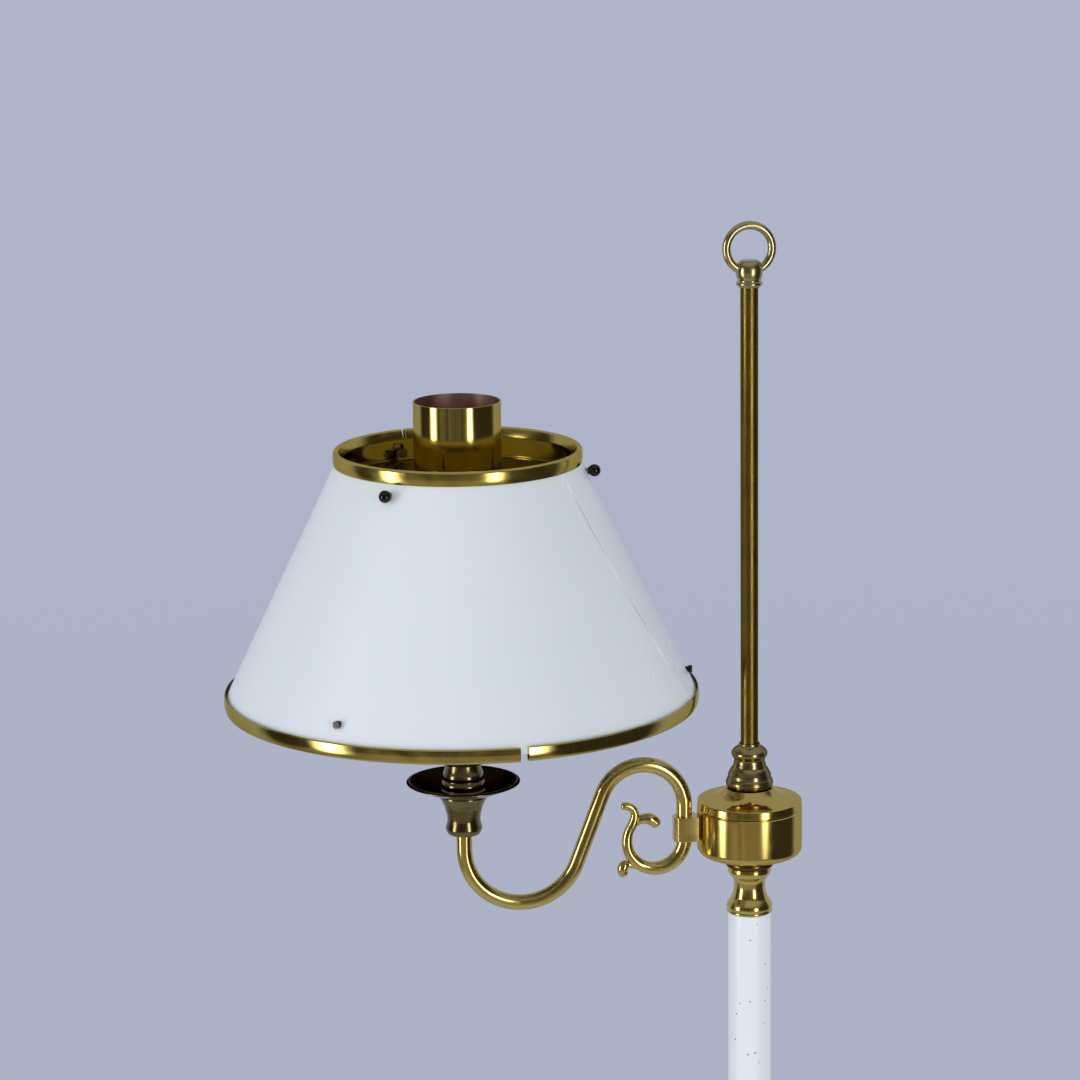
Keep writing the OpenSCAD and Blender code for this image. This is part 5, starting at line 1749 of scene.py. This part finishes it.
@dataclass
class Studio:
    """The camera, the floor, two soft boxes and the pale room round the lamp."""

    eye: Place = (-471.0, -2015.8, 1674.0)
    heading: float = -9.872
    pitch: float = -12.378
    roll: float = 0.725
    lens: float = 124.7
    sensor: float = 36.0
    wall: Colour = (0.412, 0.442, 0.56)
    wall_high: Colour = (0.435, 0.466, 0.6)
    floor_colour: Colour = (0.6, 0.61, 0.64)
    floor_shade: Colour = (0.57, 0.58, 0.61)
    floor_radius: float = 1850.0
    floor_whole: float = 0.45
    ceiling: Colour = (0.42, 0.43, 0.46)
    room_dark: Colour = (0.06, 0.055, 0.05)
    room_black: Colour = (0.04, 0.036, 0.03)
    room_mid: Colour = (0.2, 0.18, 0.14)
    room_low: Colour = (0.36, 0.32, 0.27)
    room_low_dark: Colour = (0.2, 0.18, 0.14)
    fill_front: Colour = (0.68, 0.7, 0.73)
    fill_back: Colour = (0.42, 0.44, 0.47)
    wall_rise: Point = (-0.4, 0.0)
    wall_edge: Point = (-0.46, -0.18)
    horizon: Point = (-0.225, -0.285)
    dark_right: Point = (0.6, 0.7)
    dark_left: Point = (-0.88, -0.95)
    ceiling_edge: Point = (0.45, 0.75)
    fill_spread: Point = (-0.7, 0.9)
    band_turn: float = 2.6
    band_rise: float = 0.5
    band_seed: float = 3.0
    box_size: Point = (1100.0, 2000.0)
    box_height: float = 1145.0
    box_glow: float = 7.8
    box_fade: float = 0.2
    left_angle: float = -64.0
    left_far: float = 2200.0
    right_angle: float = 31.0
    right_far: float = 2400.0

    def build(self) -> None:
        """Builds the camera, the floor and the light."""
        bpy.context.scene.view_settings.view_transform = "Standard"
        self.camera()
        self.floor()
        self.soft_box("left_box", self.left_angle, self.left_far)
        self.soft_box("right_box", self.right_angle, self.right_far)
        self.room()

    def toward(self, angle: float) -> Vector:
        """The level direction from the lamp at an angle to the right of the camera."""
        a = math.radians(self.heading - 90 + angle)
        return Vector((math.cos(a), math.sin(a), 0.0))

    def camera(self) -> None:
        """The camera, at the height and angle of a standing viewer."""
        a, p, r = (math.radians(x) for x in (self.heading, self.pitch, self.roll))
        level = Vector((-math.sin(a), math.cos(a), 0))
        right = Vector((math.cos(a), math.sin(a), 0))
        ahead = level * math.cos(p) + Vector((0, 0, math.sin(p)))
        up = right.cross(ahead)
        across = right * math.cos(r) - up * math.sin(r)
        upward = right * math.sin(r) + up * math.cos(r)
        turn = Matrix((across, upward, -ahead))
        data = bpy.data.cameras.new("viewer")
        data.lens, data.sensor_width = self.lens, self.sensor
        camera = bpy.data.objects.new("viewer", data)
        camera.matrix_world = Matrix.Translation(Vector(self.eye) * MM) @ turn.transposed().to_4x4()
        bpy.context.scene.collection.objects.link(camera)
        bpy.context.scene.camera = camera

    def floor(self) -> None:
        """A pale round floor whose edge fades out, clear from below."""
        rim = on_arc((0.0, 0.0), self.floor_radius, 0, 360, 128)[:-1]
        piece = make_mesh("studio_floor", [(x, y, 0.0) for x, y in rim], [tuple(range(len(rim)))])
        painter = Painter("floor_sheet")
        far = painter.board.add("VectorMath", {0: painter.way}, operation="LENGTH").outputs["Value"]
        edge = self.floor_radius * MM
        solid = painter.board.ramp(far, edge, edge * self.floor_whole)
        below = painter.board.add("NewGeometry").outputs["Backfacing"]
        solid = painter.board.math("MULTIPLY", solid, painter.board.math("SUBTRACT", 1.0, below))
        tone = painter.board.noise(painter.way, 2.0)
        colour = painter.board.mix(tone, self.floor_colour, self.floor_shade)
        painter.set(Base_Color=colour, Roughness=0.7, Alpha=solid)
        piece.data.materials.append(painter.material)

    def soft_box(self, name: str, angle: float, far: float) -> None:
        """A tall light that faces the lamp and fades to its edges.

        Args:
            name: The light's name.
            angle: Its angle to the right of the camera, seen from the lamp.
            far: Its distance from the pole's axis.
        """
        data = bpy.data.lights.new(name, "AREA")
        data.shape = "RECTANGLE"
        data.size, data.size_y = (side * MM for side in self.box_size)
        data.energy = self.box_glow * math.pi * data.size * data.size_y
        data.use_nodes = True
        board = Board(data.node_tree)
        place = board.add("SeparateXYZ", {0: board.add("NewGeometry").outputs["Parametric"]}).outputs
        across, upward = (board.math("PINGPONG", place[axis], 0.5) for axis in ("X", "Y"))
        across = board.math("POWER", board.ramp(across, 0.0, 0.5), 2.0)
        fade = board.math("MULTIPLY", across, board.ramp(upward, 0.0, self.box_fade))
        glow = next(node for node in board.tree.nodes if node.type == "EMISSION")
        board.tree.links.new(fade, glow.inputs["Strength"])
        light = bpy.data.objects.new(name, data)
        way = self.toward(angle)
        light.location = way * far * MM + Vector((0, 0, self.box_height * MM))
        light.rotation_euler = way.to_track_quat("Z", "Y").to_euler()
        light.visible_camera = False
        bpy.context.scene.collection.objects.link(light)

    def room(self) -> None:
        """The room: plain for the camera and for soft light, with a darker front for what metal mirrors."""
        world = bpy.data.worlds.new("room")
        world.use_nodes = True
        bpy.context.scene.world = world
        board = Board(world.node_tree)
        board.tree.nodes.clear()
        way = board.add("TexCoord").outputs["Generated"]
        rise = board.add("SeparateXYZ", {0: way}).outputs["Z"]
        front, right = board.along(way, self.toward(0)), board.along(way, self.toward(90))
        wall = board.mix(board.ramp(rise, *self.wall_rise), self.wall, self.wall_high)
        turn = board.math("MULTIPLY", board.math("ARCTAN2", right, front), self.band_turn)
        height = board.math("MULTIPLY", rise, self.band_rise)
        columns = board.add("CombineXYZ", {"X": turn, "Y": height, "Z": self.band_seed}).outputs[0]
        bands = board.ramp(board.noise(columns, 1.0, 3.0, 0.6), 0.4, 0.62)
        upper = board.mix(bands, self.room_dark, self.room_mid)
        lower = board.mix(bands, self.room_low_dark, self.room_low)
        lit = board.mix(board.ramp(rise, *self.horizon), upper, lower)
        unlit = (board.ramp(right, *self.dark_right), board.ramp(right, *self.dark_left))
        room = board.mix(board.math("MAXIMUM", *unlit), lit, self.room_black)
        sides = board.mix(board.ramp(front, *self.wall_edge), wall, room)
        mirrored = board.mix(board.ramp(rise, *self.ceiling_edge), sides, self.ceiling)
        path = board.add("LightPath").outputs
        mirror_ray = board.math("MAXIMUM", path["Is Glossy Ray"], path["Is Transmission Ray"])
        fill = board.mix(board.ramp(front, *self.fill_spread), self.fill_back, self.fill_front)
        seen = board.mix(path["Is Camera Ray"], fill, wall)
        colour = board.mix(mirror_ray, seen, mirrored)
        shine = board.add("Background", {"Color": colour, "Strength": 1.0})
        board.add("OutputWorld", {"Surface": shine.outputs[0]})


def main() -> None:
    logging.basicConfig(level=logging.INFO, format="%(name)s: %(message)s")
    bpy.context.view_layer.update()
    for assembly in (Foot(), Column(), Hub(), Arm(), Holder(), Shade()):
        LOG.info("%s", type(assembly).__name__.lower())
        assembly.build()
    dress_rest()
    Studio().build()
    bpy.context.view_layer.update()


if __name__ == "__main__":
    main()
